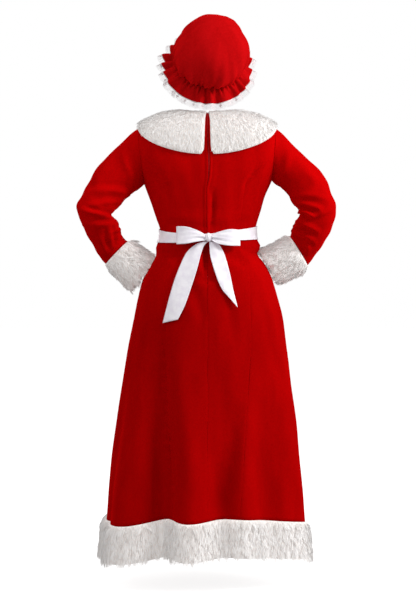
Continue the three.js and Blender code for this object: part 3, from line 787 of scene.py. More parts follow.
def cloth(name, columns, lines, place, finish, closed=False, open_ends=False):
    """A piece from a grid of (u, v), each put where place says, with the size of its cloth."""
    made, u, v = flat_grid(columns, lines)
    spots = place(u, v)
    move_to(made, spots)
    if closed:
        bmesh.ops.remove_doubles(made, verts=made.verts, dist=1e-5)
        if open_ends:
            edges = [edge for edge in made.edges if edge.is_boundary]
            bmesh.ops.holes_fill(made, edges=edges, sides=0)
        bmesh.ops.recalc_face_normals(made, faces=made.faces)
    size = cut_of(made, spots, columns, lines)
    return piece_of(name, made, finish), size


def thicken(piece, thick, offset):
    wall = piece.modifiers.new("wall", "SOLIDIFY")
    wall.thickness = thick * 0.001
    wall.offset = offset


def belongs(piece, cad_node):
    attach(piece, "root")
    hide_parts(cad_node)


# A wall grows inwards from its surface, or to both sides of it.
INWARDS = -1.0
BOTH_WAYS = 0.0


def sew(made, cad_node, thick, offset):
    """Gives a sheet its wall and its place."""
    piece, (width, length, area) = made
    thicken(piece, thick, offset)
    belongs(piece, cad_node)


def sew_velvet(made, cad_node):
    sew(made, cad_node, VELVET_THICK, INWARDS)


def closer_at_ends(t, share=0.8):
    """0 to 1, with closer steps at both ends."""
    return t - share * np.sin(2 * np.pi * t) / (2 * np.pi)


# The edges of the panels go up as v goes from 0 to 1. Angles in them are counted from a side seam.
SIDE_SEAM_SIGN = {"left": 1, "right": -1}
WAIST_TO_TOP = {"centre": (0.68, 0.765, 0.86), "side": (0.8,)}


def princess(level):
    return along(BODY, "level", level, "seam")


def armhole(side, at, shrink=0.0):
    """The level, and the angle from the side, of a point at so many degrees round an armhole."""
    bottom, top = ARMHOLE[side]
    level = (bottom + top) / 2 + ((top - bottom) / 2 - shrink) * np.sin(np.radians(at))
    return level, (ARMHOLE_SPREAD - shrink / 2) * np.cos(np.radians(at))


def side_edges(side, v):
    """Both edges of a side panel: along the side seam and armhole, and along the princess seam."""
    turn_in = WAIST_TO_TOP["side"][0]
    bottom = ARMHOLE[side][0]
    at = -90 + 90 * np.clip((v - turn_in) / (1 - turn_in), 0, 1)
    hole_level, hole_angle = armhole(side, at)
    below = v < turn_in
    level = np.where(below, mix(HEM_LEVEL, bottom, v / turn_in), hole_level)
    inner = np.where(below, 0, hole_angle)
    outer = np.where(below, princess(level), np.maximum(princess(hole_level), hole_angle + 0.7))
    return (inner, level), (outer, level)


def centre_edge(side, v):
    """The outer edge of a centre panel: princess seam, armhole and shoulder seam."""
    seam_end, hole_side, hole_top = WAIST_TO_TOP["centre"]
    bottom, top = ARMHOLE[side]
    beside = -90 + 90 * np.clip((v - seam_end) / (hole_side - seam_end), 0, 1)
    over = 90 * np.clip((v - hole_side) / (hole_top - hole_side), 0, 1)
    beside_level, beside_angle = armhole(side, beside)
    over_level, over_angle = armhole(side, over)
    shoulder = mix(top, NECK_LEVEL, np.clip((v - hole_top) / (1 - hole_top), 0, 1))
    cases = [v < seam_end, v < hole_side, v < hole_top]
    low = mix(HEM_LEVEL, bottom, v / seam_end)
    level = np.select(cases, [low, beside_level, over_level], shoulder)
    tip = np.maximum(princess(beside_level), beside_angle + 0.7)
    angle = np.select(cases, [princess(low), tip, over_angle], 0 * v)
    return angle, level


def from_side(side, facing, angle):
    """An angle round the dress from one counted from a side seam, to the back (1) or front (-1)."""
    return facing * angle if side == "left" else 180 - facing * angle


def seam_edge(side, facing, which):
    """A side panel's edge along its side seam (0) or its princess seam (1)."""

    def edge(v):
        angle, level = side_edges(side, v)[which]
        return from_side(side, facing, angle), level

    return edge


def outer_edge(side, facing):
    """A centre panel's edge along its princess seam, armhole and shoulder."""

    def edge(v):
        angle, level = centre_edge(side, v)
        return from_side(side, facing, angle), level

    return edge


def zip_edge(side):
    """A centre back panel's inner edge, as far off the middle as the zip stands open."""
    inwards = -SIDE_SEAM_SIGN[side]

    def edge(v):
        level = centre_edge(side, v)[1]
        aside = inwards * zip_opening(level) - zip_aside(level)
        return step(np.full(len(v), 90.0), level, aside), level

    return edge


def front_left_edge(v):
    """The front centre panel's left edge, so that angles rise to it from the right one."""
    angle, level = centre_edge("left", v)
    return 360 - angle, level


def zip_opening(level):
    """Half the gap between the lips over the zip, and what every edge laps over its seam."""
    lips = mix(ZIP["closed"], ZIP["slot"], along(ZIP_LINE, "level", level, "open"))
    return np.where(level >= ZIP["bottom"], lips + SEAM_LAP, 0)


def zip_aside(level):
    return np.where(level >= ZIP["bottom"], along(ZIP_LINE, "level", level, "aside"), 0)


# How deep each unevenness of a panel is, and how far from its seam it reaches or starts.
PUCKERS = {"depth": 0.4, "reach": 10}
SEAM_GROOVE = {"depth": 0.5, "reach": 3.5}
SWAY = {"depth": 1.1, "start": 30}


def seam_puckers(angle, level, from_seam):
    """Small gathers that a seam draws into the velvet beside it, alike on both sides of it."""
    run = level / 14
    turn = 8 * np.cos(np.radians(angle))
    pucker = np.sin(run * 5.1 + turn) * np.sin(run * 2.3 - turn) + np.sin(run * 7.7 + 2 * turn)
    return PUCKERS["depth"] * pucker * hump(from_seam / PUCKERS["reach"])


def zip_welt(from_zip, level):
    """How far the velvet stands up beside the zip, and the share of that there: a rounded edge,
    and a line of stitching that sinks in beside it."""
    rim = 1.5 * hump((from_zip - 3.2) / 2.4)
    stitching = 1.1 * hump((from_zip - 9.5) / 3)
    share = ease((level - ZIP["bottom"]) / 60) * hump(np.maximum(from_zip - 12, 0) / 2)
    return rim - stitching, share


def velvet_panel(name, columns, lines, low_edge, high_edge, lip=None):
    """A panel between two edges, the first at the smaller angle. It turns in at its seams, and
    stands up in a lip along the zip, if its low (0) or high (1) edge is there."""
    phase = chance.uniform(0, 6)

    def place(u, v):
        low_angle, low_level = low_edge(v)
        high_angle, high_level = high_edge(v)
        low_angle = step(low_angle, low_level, -SEAM_LAP)
        high_angle = step(high_angle, high_level, SEAM_LAP)
        t = closer_at_ends(u)
        angle = mix(low_angle, high_angle, t)
        level = mix(low_level, high_level, t)
        span = dress_point(low_angle, low_level) - dress_point(high_angle, high_level)
        wide = np.linalg.norm(span, axis=-1)
        from_seam = np.minimum(t, 1 - t) * wide * 1.05
        spot = dress_point(angle, dropped(angle, level))
        normal = dress_normal(angle, dropped(angle, level))
        facing = np.where(np.sin(np.radians(angle)) > 0, 1, -1)
        off = body_creases(spot, facing) + seam_puckers(angle, level, from_seam)
        sway = np.sin(angle / 4 + level / 160 + phase) * np.sin(level / 75 + angle / 9)
        off += SWAY["depth"] * sway * ease(from_seam / SWAY["start"])
        beside = -SEAM_GROOVE["depth"] * hump(from_seam / SEAM_GROOVE["reach"])
        if lip is not None:
            welt, share = zip_welt(np.where(lip, 1 - t, t) * wide, level)
            beside = mix(beside, welt, share)
        return spot + normal * (off + beside)[:, None]

    return cloth(f"velvet_{name}", columns, lines, place, DRESS_VELVET)


def make_panels():
    """The seven velvet panels, from the hem to the armholes and neck."""
    for side in ("left", "right"):
        for facing, word in ((1, "back"), (-1, "front")):
            name = f"{word}_side_{side}"
            first = 0 if (side == "left") == (facing == 1) else 1
            edges = seam_edge(side, facing, first), seam_edge(side, facing, 1 - first)
            sew_velvet(velvet_panel(name, 40, 104, *edges), name)
        name = f"back_centre_{side}"
        edges = outer_edge(side, 1), zip_edge(side)
        if side == "right":
            edges = edges[::-1]
        sew_velvet(velvet_panel(name, 34, 124, *edges, side == "left"), name)
    edges = outer_edge("right", -1), front_left_edge
    sew_velvet(velvet_panel("front_centre", 50, 124, *edges), "front_centre")


def section(side, row, at, inset=0.0):
    """A point of a sleeve's or cuff's oval section."""
    outer_x, outer_z, inner_x, inner_z, y, depth = row
    mirror = SIDE_SEAM_SIGN[side]
    outer = np.array([mirror * outer_x, y, outer_z])
    inner = np.array([mirror * inner_x, y, inner_z])
    middle = (outer + inner) / 2
    reach = outer - middle
    half = np.linalg.norm(reach)
    s = np.sin(np.radians(at))[:, None]
    c = np.cos(np.radians(at))[:, None]
    inset = np.broadcast_to(inset, np.shape(at))[:, None]
    return middle + reach * s * (half - inset) / half + np.array([0, 1, 0]) * c * (depth - inset)


# How far inside the armhole and off the dress a sleeve starts.
SLEEVE_INSET = 0.6
SLEEVE_LIFT = 0.2


def sleeve_rings(side, at):
    """The points at so many degrees round each ring of a sleeve; 90 is its outer edge, 0 the back."""
    level, angle = armhole(side, at, SLEEVE_INSET)
    start = on_dress(from_side(side, 1, angle), level, np.full(len(at), SLEEVE_LIFT))
    return [start] + [section(side, row, at) for row in zip(*SLEEVES[side].values())]


def through(rings, t):
    """Points at t, counted in rings, on smooth curves through the rings."""
    rings = np.array(rings)
    last = len(rings) - 1
    i = np.clip(np.ceil(t).astype(int) - 1, 0, last - 1)
    who = np.arange(len(t))

    def slope(j):
        before = np.maximum(j - 1, 0)
        after = np.minimum(j + 1, last)
        return (rings[after, who] - rings[before, who]) / (after - before)[:, None]

    t = np.clip(t - i, 0, 1)[:, None]
    return curve(t, rings[i, who], rings[i + 1, who], slope(i), slope(i + 1))


def sleeve_creases(side, spot, t):
    """How far out a sleeve's creases push its points, on the face of it that each is on."""
    lines = list(zip(*SLEEVE_CREASES[side].values()))
    middle = {"y": np.concatenate([[0.0], SLEEVES[side]["y"]])}
    turned = spot.copy()
    turned[:, 1] -= by_row(middle, t, "y")
    faces = [crease_depth(turned, facing, lines) for facing in (1, -1)]
    return np.where(turned[:, 1] > 0, *faces)


def make_sleeve(side):
    """A velvet sleeve from the armhole to the cuff, creased at the elbow."""
    last = len(SLEEVES[side]["y"])

    def bare(u, t):
        return through(sleeve_rings(side, -90 + 360 * u), t)

    def place(u, v):
        t = last * v**1.05
        spot = bare(u, t)
        around = bare(u + 0.01, t) - bare(u - 0.01, t)
        down = bare(u, np.minimum(t + 0.05, last)) - bare(u, np.maximum(t - 0.05, 0))
        normal = unit(np.cross(around, down)) * -SIDE_SEAM_SIGN[side]
        off = sleeve_creases(side, spot, t)
        off += 1.6 * np.sin(12 * u + 3 * t) * np.sin(2.1 * t + 5 * u) * ease(t / 2)
        off -= 1.1 * hump(t / 0.06)
        return spot + normal * off[:, None]

    made = cloth(f"velvet_sleeve_{side}", 88, 96, place, DRESS_VELVET, closed=True)
    sew_velvet(made, f"sleeve_{side}")


def lock_form():
    """One lock of fur, as a form to copy: a thin cone with three sides and a waist."""
    made = bmesh.new()
    bmesh.ops.create_cone(made, cap_ends=True, segments=3, radius1=1, radius2=0, depth=1)
    bmesh.ops.remove_doubles(made, verts=made.verts, dist=1e-5)
    every = made.verts[:] + made.edges[:] + made.faces[:]
    bmesh.ops.bisect_plane(made, geom=every, plane_co=(0, 0, 0), plane_no=(0, 0, 1))
    for vert in made.verts:
        if abs(vert.co.z) < 0.01:
            vert.co.xy *= 1.7
    return made


def copies(name, form, spots, own_uv, finish, normals=None):
    """One mesh of many copies of a small form: spots is copies by points, own_uv a pair for each."""
    small = bpy.data.meshes.new(f"{name}_form")
    form.to_mesh(small)
    form.free()
    many, points = spots.shape[:2]
    corners = np.array([loop.vertex_index for loop in small.loops])
    starts = np.array([face.loop_start for face in small.polygons])
    order = np.arange(many)[:, None]
    mesh = bpy.data.meshes.new(name)
    mesh.vertices.add(many * points)
    mesh.vertices.foreach_set("co", in_frame(spots).astype(np.float32).ravel())
    mesh.loops.add(many * len(corners))
    mesh.loops.foreach_set("vertex_index", (corners + order * points).astype(np.int32).ravel())
    mesh.polygons.add(many * len(starts))
    mesh.polygons.foreach_set("loop_start", (starts + order * len(corners)).astype(np.int32).ravel())
    layer = mesh.uv_layers.new(name="UVMap")
    layer.data.foreach_set("uv", own_uv[:, corners].astype(np.float32).ravel())
    mesh.update(calc_edges=True)
    mesh.shade_smooth()
    if normals is not None:
        mesh.normals_split_custom_set_from_vertices(normals.reshape(-1, 3).tolist())
    mesh.materials.append(finish)
    bpy.data.meshes.remove(small)
    return put_in_scene(name, mesh)


def scatter(place, many, span, columns=200, lines=24):
    """So many (u, v), spread evenly over the part of a surface between two u."""
    start, end = span
    wide, tall = (end - start) / columns, 1 / lines
    u, v = np.meshgrid(start + (np.arange(columns) + 0.5) * wide, (np.arange(lines) + 0.5) * tall)
    u, v = u.ravel(), v.ravel()
    across = place(u + wide / 2, v, 0) - place(u - wide / 2, v, 0)
    down = place(u, v + tall / 2, 0) - place(u, v - tall / 2, 0)
    area = np.linalg.norm(np.cross(across, down), axis=-1)
    cell = chance.choice(len(u), many, p=area / area.sum())
    jitter = chance.uniform(-0.5, 0.5, (2, many))
    return u[cell] + jitter[0] * wide, np.clip(v[cell] + jitter[1] * tall, 0, 1)


# Locks of fur: how many, how long and thick in millimetres, how far each stands up and strays from
# the way that it is combed, how many share a tuft, and how far their tips are drawn to its tip.
FUR_LOCKS = {
    "hem": {"many": 13000, "long": 29, "thick": 0.75, "lift": 0.4, "messy": 0.3, "tuft": 18, "pull": 0.7},
    "collar": {"many": 7500, "long": 17, "thick": 0.7, "lift": 0.4, "messy": 0.42, "tuft": 12, "pull": 0.55},
    "cuff": {"many": 5800, "long": 24, "thick": 0.78, "lift": 0.5, "messy": 0.6, "tuft": 22, "pull": 0.8},
}


def grow_fur(name, place, kind, span=(0, 1)):
    """Locks of fur on a surface, combed the way v grows, with their tips drawn into tufts.
    place(u, v, off) gives a point so far off the surface."""
    locks = FUR_LOCKS[kind]
    many = locks["many"]
    u, v = scatter(place, many, span)
    root = place(u, v, -3.0)
    out = unit(place(u, v, 3.0) - root)
    comb = unit(place(u, np.clip(v + 0.03, 0, 1), 0) - place(u, np.clip(v - 0.03, 0, 1), 0))
    across = np.cross(out, comb)
    turn_aside = chance.normal(0, locks["messy"], many)[:, None]
    rise = (locks["lift"] + chance.normal(0, locks["messy"] * 0.45, many))[:, None]
    long = (locks["long"] * chance.uniform(0.7, 1.2, many))[:, None]
    reach = unit(comb + across * turn_aside + out * rise) * long
    tufts = many // locks["tuft"]
    tree = KDTree(tufts)
    for seed in chance.choice(many, tufts, replace=False):
        tree.insert(root[seed], int(seed))
    tree.balance()
    leader = np.array([tree.find(spot)[1] for spot in root])
    drawn = root[leader] + reach[leader] + (root - root[leader]) * 0.3
    tip = mix(root + reach, drawn, locks["pull"] * chance.uniform(0.6, 1.1, many)[:, None])
    first = (out * 0.75 + unit(tip - root) * 0.55) * long * 0.9
    second = tip - root - first
    form = lock_form()
    points = np.array([vert.co for vert in form.verts])
    t = (points[:, 2] + 0.5)[None, :, None]
    ahead = unit(tip - root)
    side = unit(np.cross(ahead, out + 1e-4))
    other = np.cross(ahead, side)
    wide = (locks["thick"] * chance.uniform(0.7, 1.25, many))[:, None, None]
    ring = points[None, :, 0:1] * side[:, None] + points[None, :, 1:2] * other[:, None]
    spots = root[:, None] + first[:, None] * t + second[:, None] * t * t + ring * wide
    tone = np.clip(chance.uniform(0, 1, many) * 0.6 + chance.uniform(0, 1, many)[leader] * 0.5, 0, 1)
    own_uv = np.stack(np.broadcast_arrays(tone[:, None], t[..., 0]), -1)
    normals = unit(out[:, None] + 0.75 * unit(ring))
    return copies(name, form, spots, own_uv, FUR, normals)


def fur_ground(name, columns, lines, outer, inner, round_it):
    """The closed ground of a fur band: so many lines out along its pile, and back along its backing."""
    last = 2 * lines

    def place(u, v):
        line = np.rint(v * last)
        out_way = np.where(line == last, 0, line / (lines - 1))
        back_way = (last - 1 - line) / (lines - 1)
        outside = (line < lines) | (line == last)
        return np.where(outside[:, None], outer(u, np.clip(out_way, 0, 1)), inner(u, np.clip(back_way, 0, 1)))

    return cloth(name, columns, last, place, FUR_GROUND, closed=True, open_ends=not round_it)[0]


def lumps(u, v, many):
    """Uneven heights of a furry surface, in millimetres, the same at u = 0 and 1."""
    turn = 2 * np.pi * u
    soft = np.sin(many * turn + 5 * v) * np.sin(7 * v + 3 * turn)
    return soft + 0.7 * np.sin((2 * many + 3) * turn - 9 * v) * np.cos(13 * v)


def make_hem():
    """The white fur round the hem."""

    def place(u, v, off):
        angle = 360 * u
        level = mix(HEM_LEVEL - 0.3, HEM_END_LEVEL, v) + hem_drop(angle)
        return on_dress(angle, level, np.broadcast_to(off, np.shape(u)))

    def piled(u, v, off):
        return place(u, v, along(HEM_FUR_ROWS, "down", v, "pile") * 0.55 + off)

    ground = fur_ground(
        "fur_hem_ground",
        240,
        16,
        lambda u, v: piled(u, v * 0.95, lumps(u, v, 46)),
        lambda u, v: place(u, v * 0.95, -BACKING_THICK),
        True,
    )
    belongs(ground, "hem_fur")
    for word, span in (("back", (0, 0.5)), ("front", (0.5, 1))):
        fur = grow_fur(f"fur_hem_{word}", lambda u, v, off: piled(u, v * 0.88, off), "hem", span)
        belongs(fur, "hem_fur")


def collar_place(u, v, off):
    """A point of the cape collar, from one side of the zip (u = 0) round to the other, off its cloth."""
    round_angle = np.radians(90 + 360 * u)
    c, s = np.cos(round_angle), np.sin(round_angle)
    edge = mix(np.where(s > 0, COLLAR_EDGE["back"], COLLAR_EDGE["front"]), COLLAR_EDGE["side"], c * c)
    level = mix(NECK_LEVEL, edge, v)
    gap = along(COLLAR_ROWS, "across", v, "gap")
    start = step(np.full(len(u), 90.0), level, gap)
    angle = mix(start, 540 - start, u)
    lift = COLLAR_CLEARANCE + COLLAR_OVER_SLEEVE * c * c * ease((1450 - level) / 60)
    return on_dress(angle, level, lift + off)


def make_collar():
    """The cape collar of white fur, split at the zip."""

    def piled(u, v, off):
        return collar_place(u, v, along(COLLAR_ROWS, "across", v, "pile") * 0.6 + off)

    ground = fur_ground(
        "fur_collar_ground",
        180,
        14,
        lambda u, v: piled(u, v, 0.5 * lumps(u, v, 30)),
        lambda u, v: collar_place(u, v, 0 * u),
        False,
    )
    belongs(ground, "collar")
    for word, span in (("left", (0.5, 0.996)), ("right", (0.004, 0.5))):
        fur = grow_fur(f"fur_collar_{word}", lambda u, v, off: piled(u, v * 0.94, off), "collar", span)
        belongs(fur, "collar")


def make_cuff(side):
    """A wide fur cuff, combed towards its open end."""
    all_rows = list(zip(*CUFFS[side].values()))
    last = len(all_rows) - 1
    under_pile = -6.0

    def place(u, v, off):
        at = -90 + 360 * u
        rings = [section(side, row, at, -np.broadcast_to(off, np.shape(at))) for row in all_rows]
        return through(rings, v * last)

    ground = fur_ground(
        f"fur_cuff_{side}_ground",
        80,
        14,
        lambda u, v: place(u, v, under_pile + lumps(u, v, 14)),
        lambda u, v: place(u, v, -FUR_PILE + 5 * np.maximum(hump((1 - v) * 4), hump(v * 4))),
        True,
    )
    belongs(ground, f"cuff_{side}")
    fur = grow_fur(f"fur_cuff_{side}", lambda u, v, off: place(u, v, off + under_pile), "cuff")
    belongs(fur, f"cuff_{side}")


def make_zip_tape():
    """The zip's tape, down the centre back."""

    def place(u, v):
        level = mix(ZIP["top"], ZIP["bottom"], v)
        middle = step(np.full(len(u), 90.0), level, -zip_aside(level))
        angle = step(middle, level, (0.5 - u) * ZIP["tape_wide"])
        sunk = body_creases(dress_point(angle, level), np.ones(len(u)))
        return on_dress(angle, level, sunk - 4.0 - 0.4 * np.abs(u - 0.5))

    made = cloth("zip_tape", 4, 140, place, ZIP_TAPE)
    sew(made, "zip", ZIP["tape_thick"], BOTH_WAYS)


# A tooth: its size, how far to its own side it stands, and how deep it lies under closed and open lips.
TOOTH = {"across": 2.6, "deep": 1.6, "high": 0.62 * ZIP["pitch"], "aside": 0.8, "closed": -3.2, "open": -0.4}


def make_zip_teeth():
    """Two rows of nylon teeth, closed: deeper where the lips of velvet meet over them."""
    pitch = ZIP["pitch"]
    many = int((ZIP["top"] - ZIP["bottom"]) / pitch)
    level = np.repeat(ZIP["bottom"] + (np.arange(many) + 0.5) * pitch, 2)
    sign = np.tile([-1.0, 1.0], many)
    level = level + sign * pitch / 4
    angle = step(np.full(len(level), 90.0), level, -zip_aside(level))
    height = mix(TOOTH["closed"], TOOTH["open"], along(ZIP_LINE, "level", level, "open"))
    height += body_creases(dress_point(angle, level), np.ones(len(level)))
    middle = on_dress(angle, level, height)
    out = dress_normal(angle, level)
    up = unit(on_dress(angle, level + 1, height) - middle)
    right = np.cross(up, out)
    tooth = bmesh.new()
    bmesh.ops.create_cube(tooth, size=1)
    for vert in tooth.verts:
        if vert.co.y > 0:
            vert.co.z *= 0.55
    form = np.array([vert.co for vert in tooth.verts])
    x = form[None, :, 0:1] * TOOTH["across"] + sign[:, None, None] * TOOTH["aside"]
    y = form[None, :, 1:2] * TOOTH["deep"]
    z = form[None, :, 2:3] * TOOTH["high"]
    spots = middle[:, None] + x * right[:, None] + y * out[:, None] + z * up[:, None]
    teeth = copies("zip_teeth", tooth, spots, np.zeros((len(level), len(form), 2)), ZIP_NYLON)
    belongs(teeth, "zip")


def make_sash():
    """The satin sash round the waist; its ends meet under the knot."""

    def place(u, v):
        angle = mix(91, 449, u)
        middle = along(SASH, "angle", angle % 360, "middle")
        half = along(SASH, "angle", angle % 360, "half")
        up = 2 * v - 1
        near_knot = hump(apart(angle, 90) / 30)
        pleats = np.sin(9 * v + 0.02 * angle) * (0.5 + 1.3 * near_knot) + 0.4 * np.sin(21 * v + angle / 16)
        return on_dress(angle, middle + up * half, SASH_CLEARANCE + 1.4 + 0.5 * pleats)

    made = cloth("satin_sash", 220, 12, place, SATIN)
    sew(made, "sash", SATIN_THICK, BOTH_WAYS)


def make_loop(side):
    """One loop of the bow: out from the knot, round a pressed end and back, pleated at the knot."""
    table = LOOPS[side]
    last = len(table["x"]) - 1

    def place(u, v):
        t = u * last
        x = by_row(table, t, "x")
        up = 2 * v - 1
        level = by_row(table, t, "z") + up * by_row(table, t, "half")
        from_knot = np.abs(x - KNOT["x"])
        pleats = 3.0 * np.sin(4.2 * up + 0.6) * hump(from_knot / 42)
        pleats += 0.9 * np.sin(11 * up + from_knot / 14) * hump(from_knot / 70)
        pleats *= np.where(t > last / 2, 1, 0.35)
        fore = dress_point(back_angle(x, level), level)[:, 1] + by_row(table, t, "off") + pleats
        return np.stack([x, fore, level], -1)

    made = cloth(f"satin_loop_{side}", 80, 18, place, SATIN)
    sew(made, f"bow_loop_{side}", SATIN_THICK, BOTH_WAYS)


def make_tail(side):
    """One tail of the bow, pleated under the knot and cut on the slant."""
    table = TAILS[side]
    last = len(table["x"]) - 1

    def place(u, v):
        down = 1 - v
        t = down * last
        across = 1 - 2 * u
        x = by_row(table, t, "x") + across * by_row(table, t, "half")
        z = by_row(table, t, "z") + across * by_row(table, t, "slant")
        narrow = hump(down / 0.3)
        pleats = 2.4 * np.sin(3.6 * across + 0.8) * narrow
        pleats += 0.8 * np.sin(2.2 * across + 9 * down) * (1 - narrow)
        off = by_row(table, t, "off") + 1.0 + pleats * np.minimum(1, 0.25 + down * 4)
        return on_dress(back_angle(x, z), z, off)

    made = cloth(f"satin_tail_{side}", 20, 80, place, SATIN)
    sew(made, f"bow_tail_{side}", SATIN_THICK, BOTH_WAYS)


def make_knot():
    """The knot: ribbon drawn upright round the middle of the bow, in soft pleats."""
    made = bmesh.new()
    made.loops.layers.uv.new("UVMap")
    bmesh.ops.create_uvsphere(made, u_segments=48, v_segments=24, radius=1, calc_uvs=True)
    for vert in made.verts:
        x, y, z = vert.co
        turn = math.atan2(y, x)
        pleat = 1 + 0.09 * math.sin(9 * turn + 2 * z) * (1 - z * z)
        square = 1 + 0.12 * (1 - z**4)
        place = [KNOT["x"] + KNOT["rx"] * x * pleat * square, KNOT["y"] + KNOT["ry"] * y * pleat, KNOT["z"]]
        place[2] += KNOT["rz"] * math.copysign(abs(z) ** 0.85, z)
        vert.co = in_frame(np.array(place))
    piece = piece_of("satin_knot", made, SATIN)
    belongs(piece, "bow_knot")


def cap_frame():
    """The cap's own directions: to its side, up through the crown, and from its back edge to its front."""
    swing, lean = np.radians(CAP["swing"]), np.radians(CAP["lean"])

    def swung(x, y, z):
        return np.array([x * np.cos(swing) - y * np.sin(swing), x * np.sin(swing) + y * np.cos(swing), z])

    up = swung(0, np.sin(lean), np.cos(lean))
    return swung(1, 0, 0), up, swung(0, -np.cos(lean), np.sin(lean))


CAP_SIDE, CAP_UP, CAP_FORE = cap_frame()


def cap_point(x, fore, up):
    lifted = np.clip(up / CAP_PROFILE["rise"][-1], 0, 1)
    start = np.array([CAP["x"], CAP["y"], CAP["z"]])
    aside = (x + CAP_TOP_SHIFT * lifted)[:, None] * CAP_SIDE
    return start + aside + fore[:, None] * CAP_FORE + up[:, None] * CAP_UP


def make_crown():
    """The puffed crown of the cap, gathered all round at its line."""
    last = len(CAP_PROFILE["radius"]) - 1

    def place(u, v):
        turn = 2 * np.pi * u
        t = v * last
        radius = by_row(CAP_PROFILE, t, "radius")
        rise = by_row(CAP_PROFILE, t, "rise")
        near = hump(v / 0.24)
        gathers = np.sin(38 * turn + 2 * np.sin(5 * turn)) * (4.6 + 2 * np.sin(9 * turn)) * near
        gathers += np.sin(17 * turn + 1.5 * np.sin(3 * turn)) * 4.5 * hump(v / 0.4)
        soft = 4.5 * np.sin(3 * turn + 4 * v + 1) * np.sin(3 * v)
        soft += 3.5 * np.sin(5 * turn - 6 * v) * np.sin(np.pi * v)
        radius = radius + (gathers * ease(v / 0.05) + soft) * ease((1 - v) * 3)
        wide = CAP["half_width"] / CAP_MEAN
        tall = CAP["half_length"] / CAP_MEAN
        return cap_point(radius * np.cos(turn) * wide, radius * np.sin(turn) * tall, rise)

    made, size = cloth("cap_crown_velvet", 300, 34, place, CAP_VELVET, closed=True)
    thicken(made, VELVET_THICK, INWARDS)
    belongs(made, "cap_crown")


def frill(u, length):
    """A point of the cap's frill, so far out from the gathered line along the cloth."""
    turn = 2 * np.pi * u
    c, s = np.cos(turn), np.sin(turn)
    in_plane = unit(np.stack([CAP["half_length"] * c, CAP["half_width"] * s], -1))
    out = in_plane[:, :1] * CAP_SIDE + in_plane[:, 1:] * CAP_FORE
    flare = np.radians(RUFFLE_FLARE)
    down = out * np.sin(flare) - CAP_UP * np.cos(flare)
    away = out * np.cos(flare) + CAP_UP * np.sin(flare)
    uneven = 1 + 0.35 * np.sin(3 * turn + 0.7) + 0.3 * np.sin(7 * turn)
    calm = 1 - 0.5 * ease(-s * 2 - 0.6)
    ripple = np.sin(RUFFLE_WAVES * turn + 0.9 * np.sin(5 * turn) + 0.5 * np.sin(8 * turn))
    wave = 12 * ease(length / RUFFLE) * uneven * calm * ripple
    wave += 4.0 * np.sin(2 * RUFFLE_WAVES * turn + 1.4 * np.sin(6 * turn)) * hump((length - 7) / 13)
    wave += 1.2 * np.sin(3 * RUFFLE_WAVES * turn + 2 * np.sin(4 * turn)) * hump((length - 12) / 20)
    start = cap_point(CAP["half_width"] * c, CAP["half_length"] * s, np.full(len(u), -0.6))
    return start + down * length[:, None] + away * wave[:, None]


def make_ruffle():
    """The cap's ruffle, flat at its edge and gathered at the line."""

    def place(u, v):
        return frill(u, mix(-TUCKED_IN, RUFFLE, v))

    made = cloth("cap_ruffle_velvet", 396, 12, place, CAP_VELVET, closed=True)
    sew(made, "cap_ruffle", VELVET_THICK, BOTH_WAYS)


def is_flower(column, line):
    """Whether a mesh of the lace is filled: its first line, and a small flower in every 12 columns."""
    aside = abs(column % 12 - 6)
    return line == 0 or (aside <= 1 and line == 2) or (aside == 0 and line in (1, 3))


def make_lace():
    """The lace along the ruffle: an open net with closer flowers and a scalloped edge."""
    columns, lines = 396, 5

    def place(u, v):
        scallop = 2.6 * np.abs(np.sin(33 * 2 * np.pi * u)) * v
        return frill(u, RUFFLE - 1.5 + v * (LACE - 1) + scallop)

    made, u, v = flat_grid(columns, lines)
    spots = place(u, v)
    middles = [face.calc_center_median() for face in made.faces]
    move_to(made, spots)
    bmesh.ops.remove_doubles(made, verts=made.verts, dist=1e-5)
    net = list(made.faces)
    bmesh.ops.inset_individual(made, faces=net, thickness=THREAD * 0.0005)
    holes = []
    for face, middle in zip(net, middles):
        if not is_flower(int((middle.x + 0.5) * columns), int((middle.y + 0.5) * lines)):
            holes.append(face)
    bmesh.ops.delete(made, geom=holes, context="FACES")
    width, length, area = cut_of(made, spots, columns, lines)
    piece = piece_of("cap_edging_lace", made, LACE_COTTON)
    thicken(piece, LACE_THICK, BOTH_WAYS)
    belongs(piece, "cap_lace")
    area = max(area, LEAST_SHARE * width * length)


STUDIO_LIGHT = 0.44
FLOOR_GLOW = 0.84
# Square lamps, in metres and watts, all aimed at the middle of the dress.
LAMPS = {
    "key": {"place": (-3.9, 2.1, 2.2), "size": 1.2, "power": 148},
    "side": {"place": (-4.2, 0.7, 0.3), "size": 2.0, "power": 76},
    "fill": {"place": (3.8, 2.0, 1.4), "size": 2.4, "power": 44},
    "top": {"place": (0, 1.6, 3.1), "size": 2.2, "power": 34},
    "front": {"place": (1.8, -3.8, 1.0), "size": 2.6, "power": 46},
}
DRESS_MIDDLE = (0, 0, -0.45)
# The camera stands 5 m behind the dress, level with the top of its skirt; lens and sensor in millimetres.
CAMERA_PLACE = (-0.00155, 5.0, -0.56)
SENSOR_HEIGHT = 24
FOCAL_LENGTH = 65.17


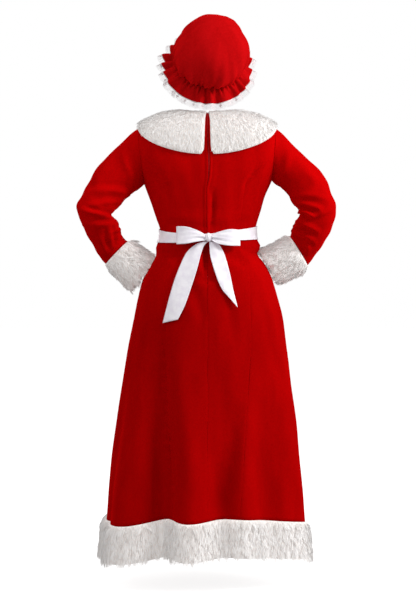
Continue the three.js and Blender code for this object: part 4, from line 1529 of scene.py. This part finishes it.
def make_floor():
    """A plain matt floor that looks nearly white."""
    pale = bpy.data.materials.new("pale_floor")
    pale.use_nodes = True
    shader = pale.node_tree.nodes["Principled BSDF"]
    shader.inputs["Base Color"].default_value = linear("#b8b8b8")
    shader.inputs["Roughness"].default_value = 0.95
    shader.inputs["Specular IOR Level"].default_value = 0
    shader.inputs["Emission Color"].default_value = linear("#ffffff")
    camera_ray = node(pale.node_tree, "ShaderNodeLightPath").outputs["Is Camera Ray"]
    glow = node(pale.node_tree, "ShaderNodeMath", {0: camera_ray, 1: FLOOR_GLOW}, operation="MULTIPLY")
    pale.node_tree.links.new(glow.outputs[0], shader.inputs["Emission Strength"])
    made = bmesh.new()
    bmesh.ops.create_circle(made, cap_ends=True, segments=96, radius=40)
    floor = piece_of("studio_floor", made, pale)
    for vert in floor.data.vertices:
        vert.co.z = -SHOULDER_HEIGHT * 0.001


def light_studio():
    """A white backdrop that gives off less light than it shows, and the lamps."""
    world = bpy.data.worlds.new("studio")
    world.use_nodes = True
    tree = world.node_tree
    sky = tree.nodes["Background"]
    sky.inputs["Color"].default_value = linear("#ffffff")
    sky.inputs["Strength"].default_value = STUDIO_LIGHT
    seen = node(tree, "ShaderNodeBackground", {"Color": linear("#ffffff"), "Strength": 1.0})
    path = node(tree, "ShaderNodeLightPath")
    both = node(tree, "ShaderNodeMixShader", {0: path.outputs["Is Camera Ray"], 1: sky.outputs[0]})
    tree.links.new(seen.outputs[0], both.inputs[2])
    tree.links.new(both.outputs[0], tree.nodes["World Output"].inputs[0])
    bpy.context.scene.world = world

    for name, lamp in LAMPS.items():
        light = bpy.data.lights.new(name, "AREA")
        light.energy = lamp["power"]
        light.size = lamp["size"]
        stand = put_in_scene(name, light)
        stand.location = lamp["place"]
        aim = np.array(DRESS_MIDDLE) - np.array(lamp["place"])
        flat = math.hypot(aim[0], aim[1])
        stand.rotation_euler = (math.atan2(flat, -aim[2]), 0, math.atan2(-aim[0], aim[1]))


def place_camera():
    """A camera where the photograph was taken from."""
    lens = bpy.data.cameras.new("photo_camera")
    lens.sensor_fit = "VERTICAL"
    lens.sensor_height = SENSOR_HEIGHT
    lens.lens = FOCAL_LENGTH
    camera = put_in_scene("photo_camera", lens)
    camera.location = CAMERA_PLACE
    camera.rotation_euler = (math.pi / 2, 0, math.pi)
    bpy.context.scene.camera = camera
    bpy.context.scene.view_settings.view_transform = "Standard"


make_floor()
light_studio()
place_camera()
make_panels()
make_zip_tape()
make_zip_teeth()
for side in ("left", "right"):
    make_sleeve(side)
    make_cuff(side)
    make_loop(side)
    make_tail(side)
make_hem()
make_collar()
make_sash()
make_knot()
make_crown()
make_ruffle()
make_lace()
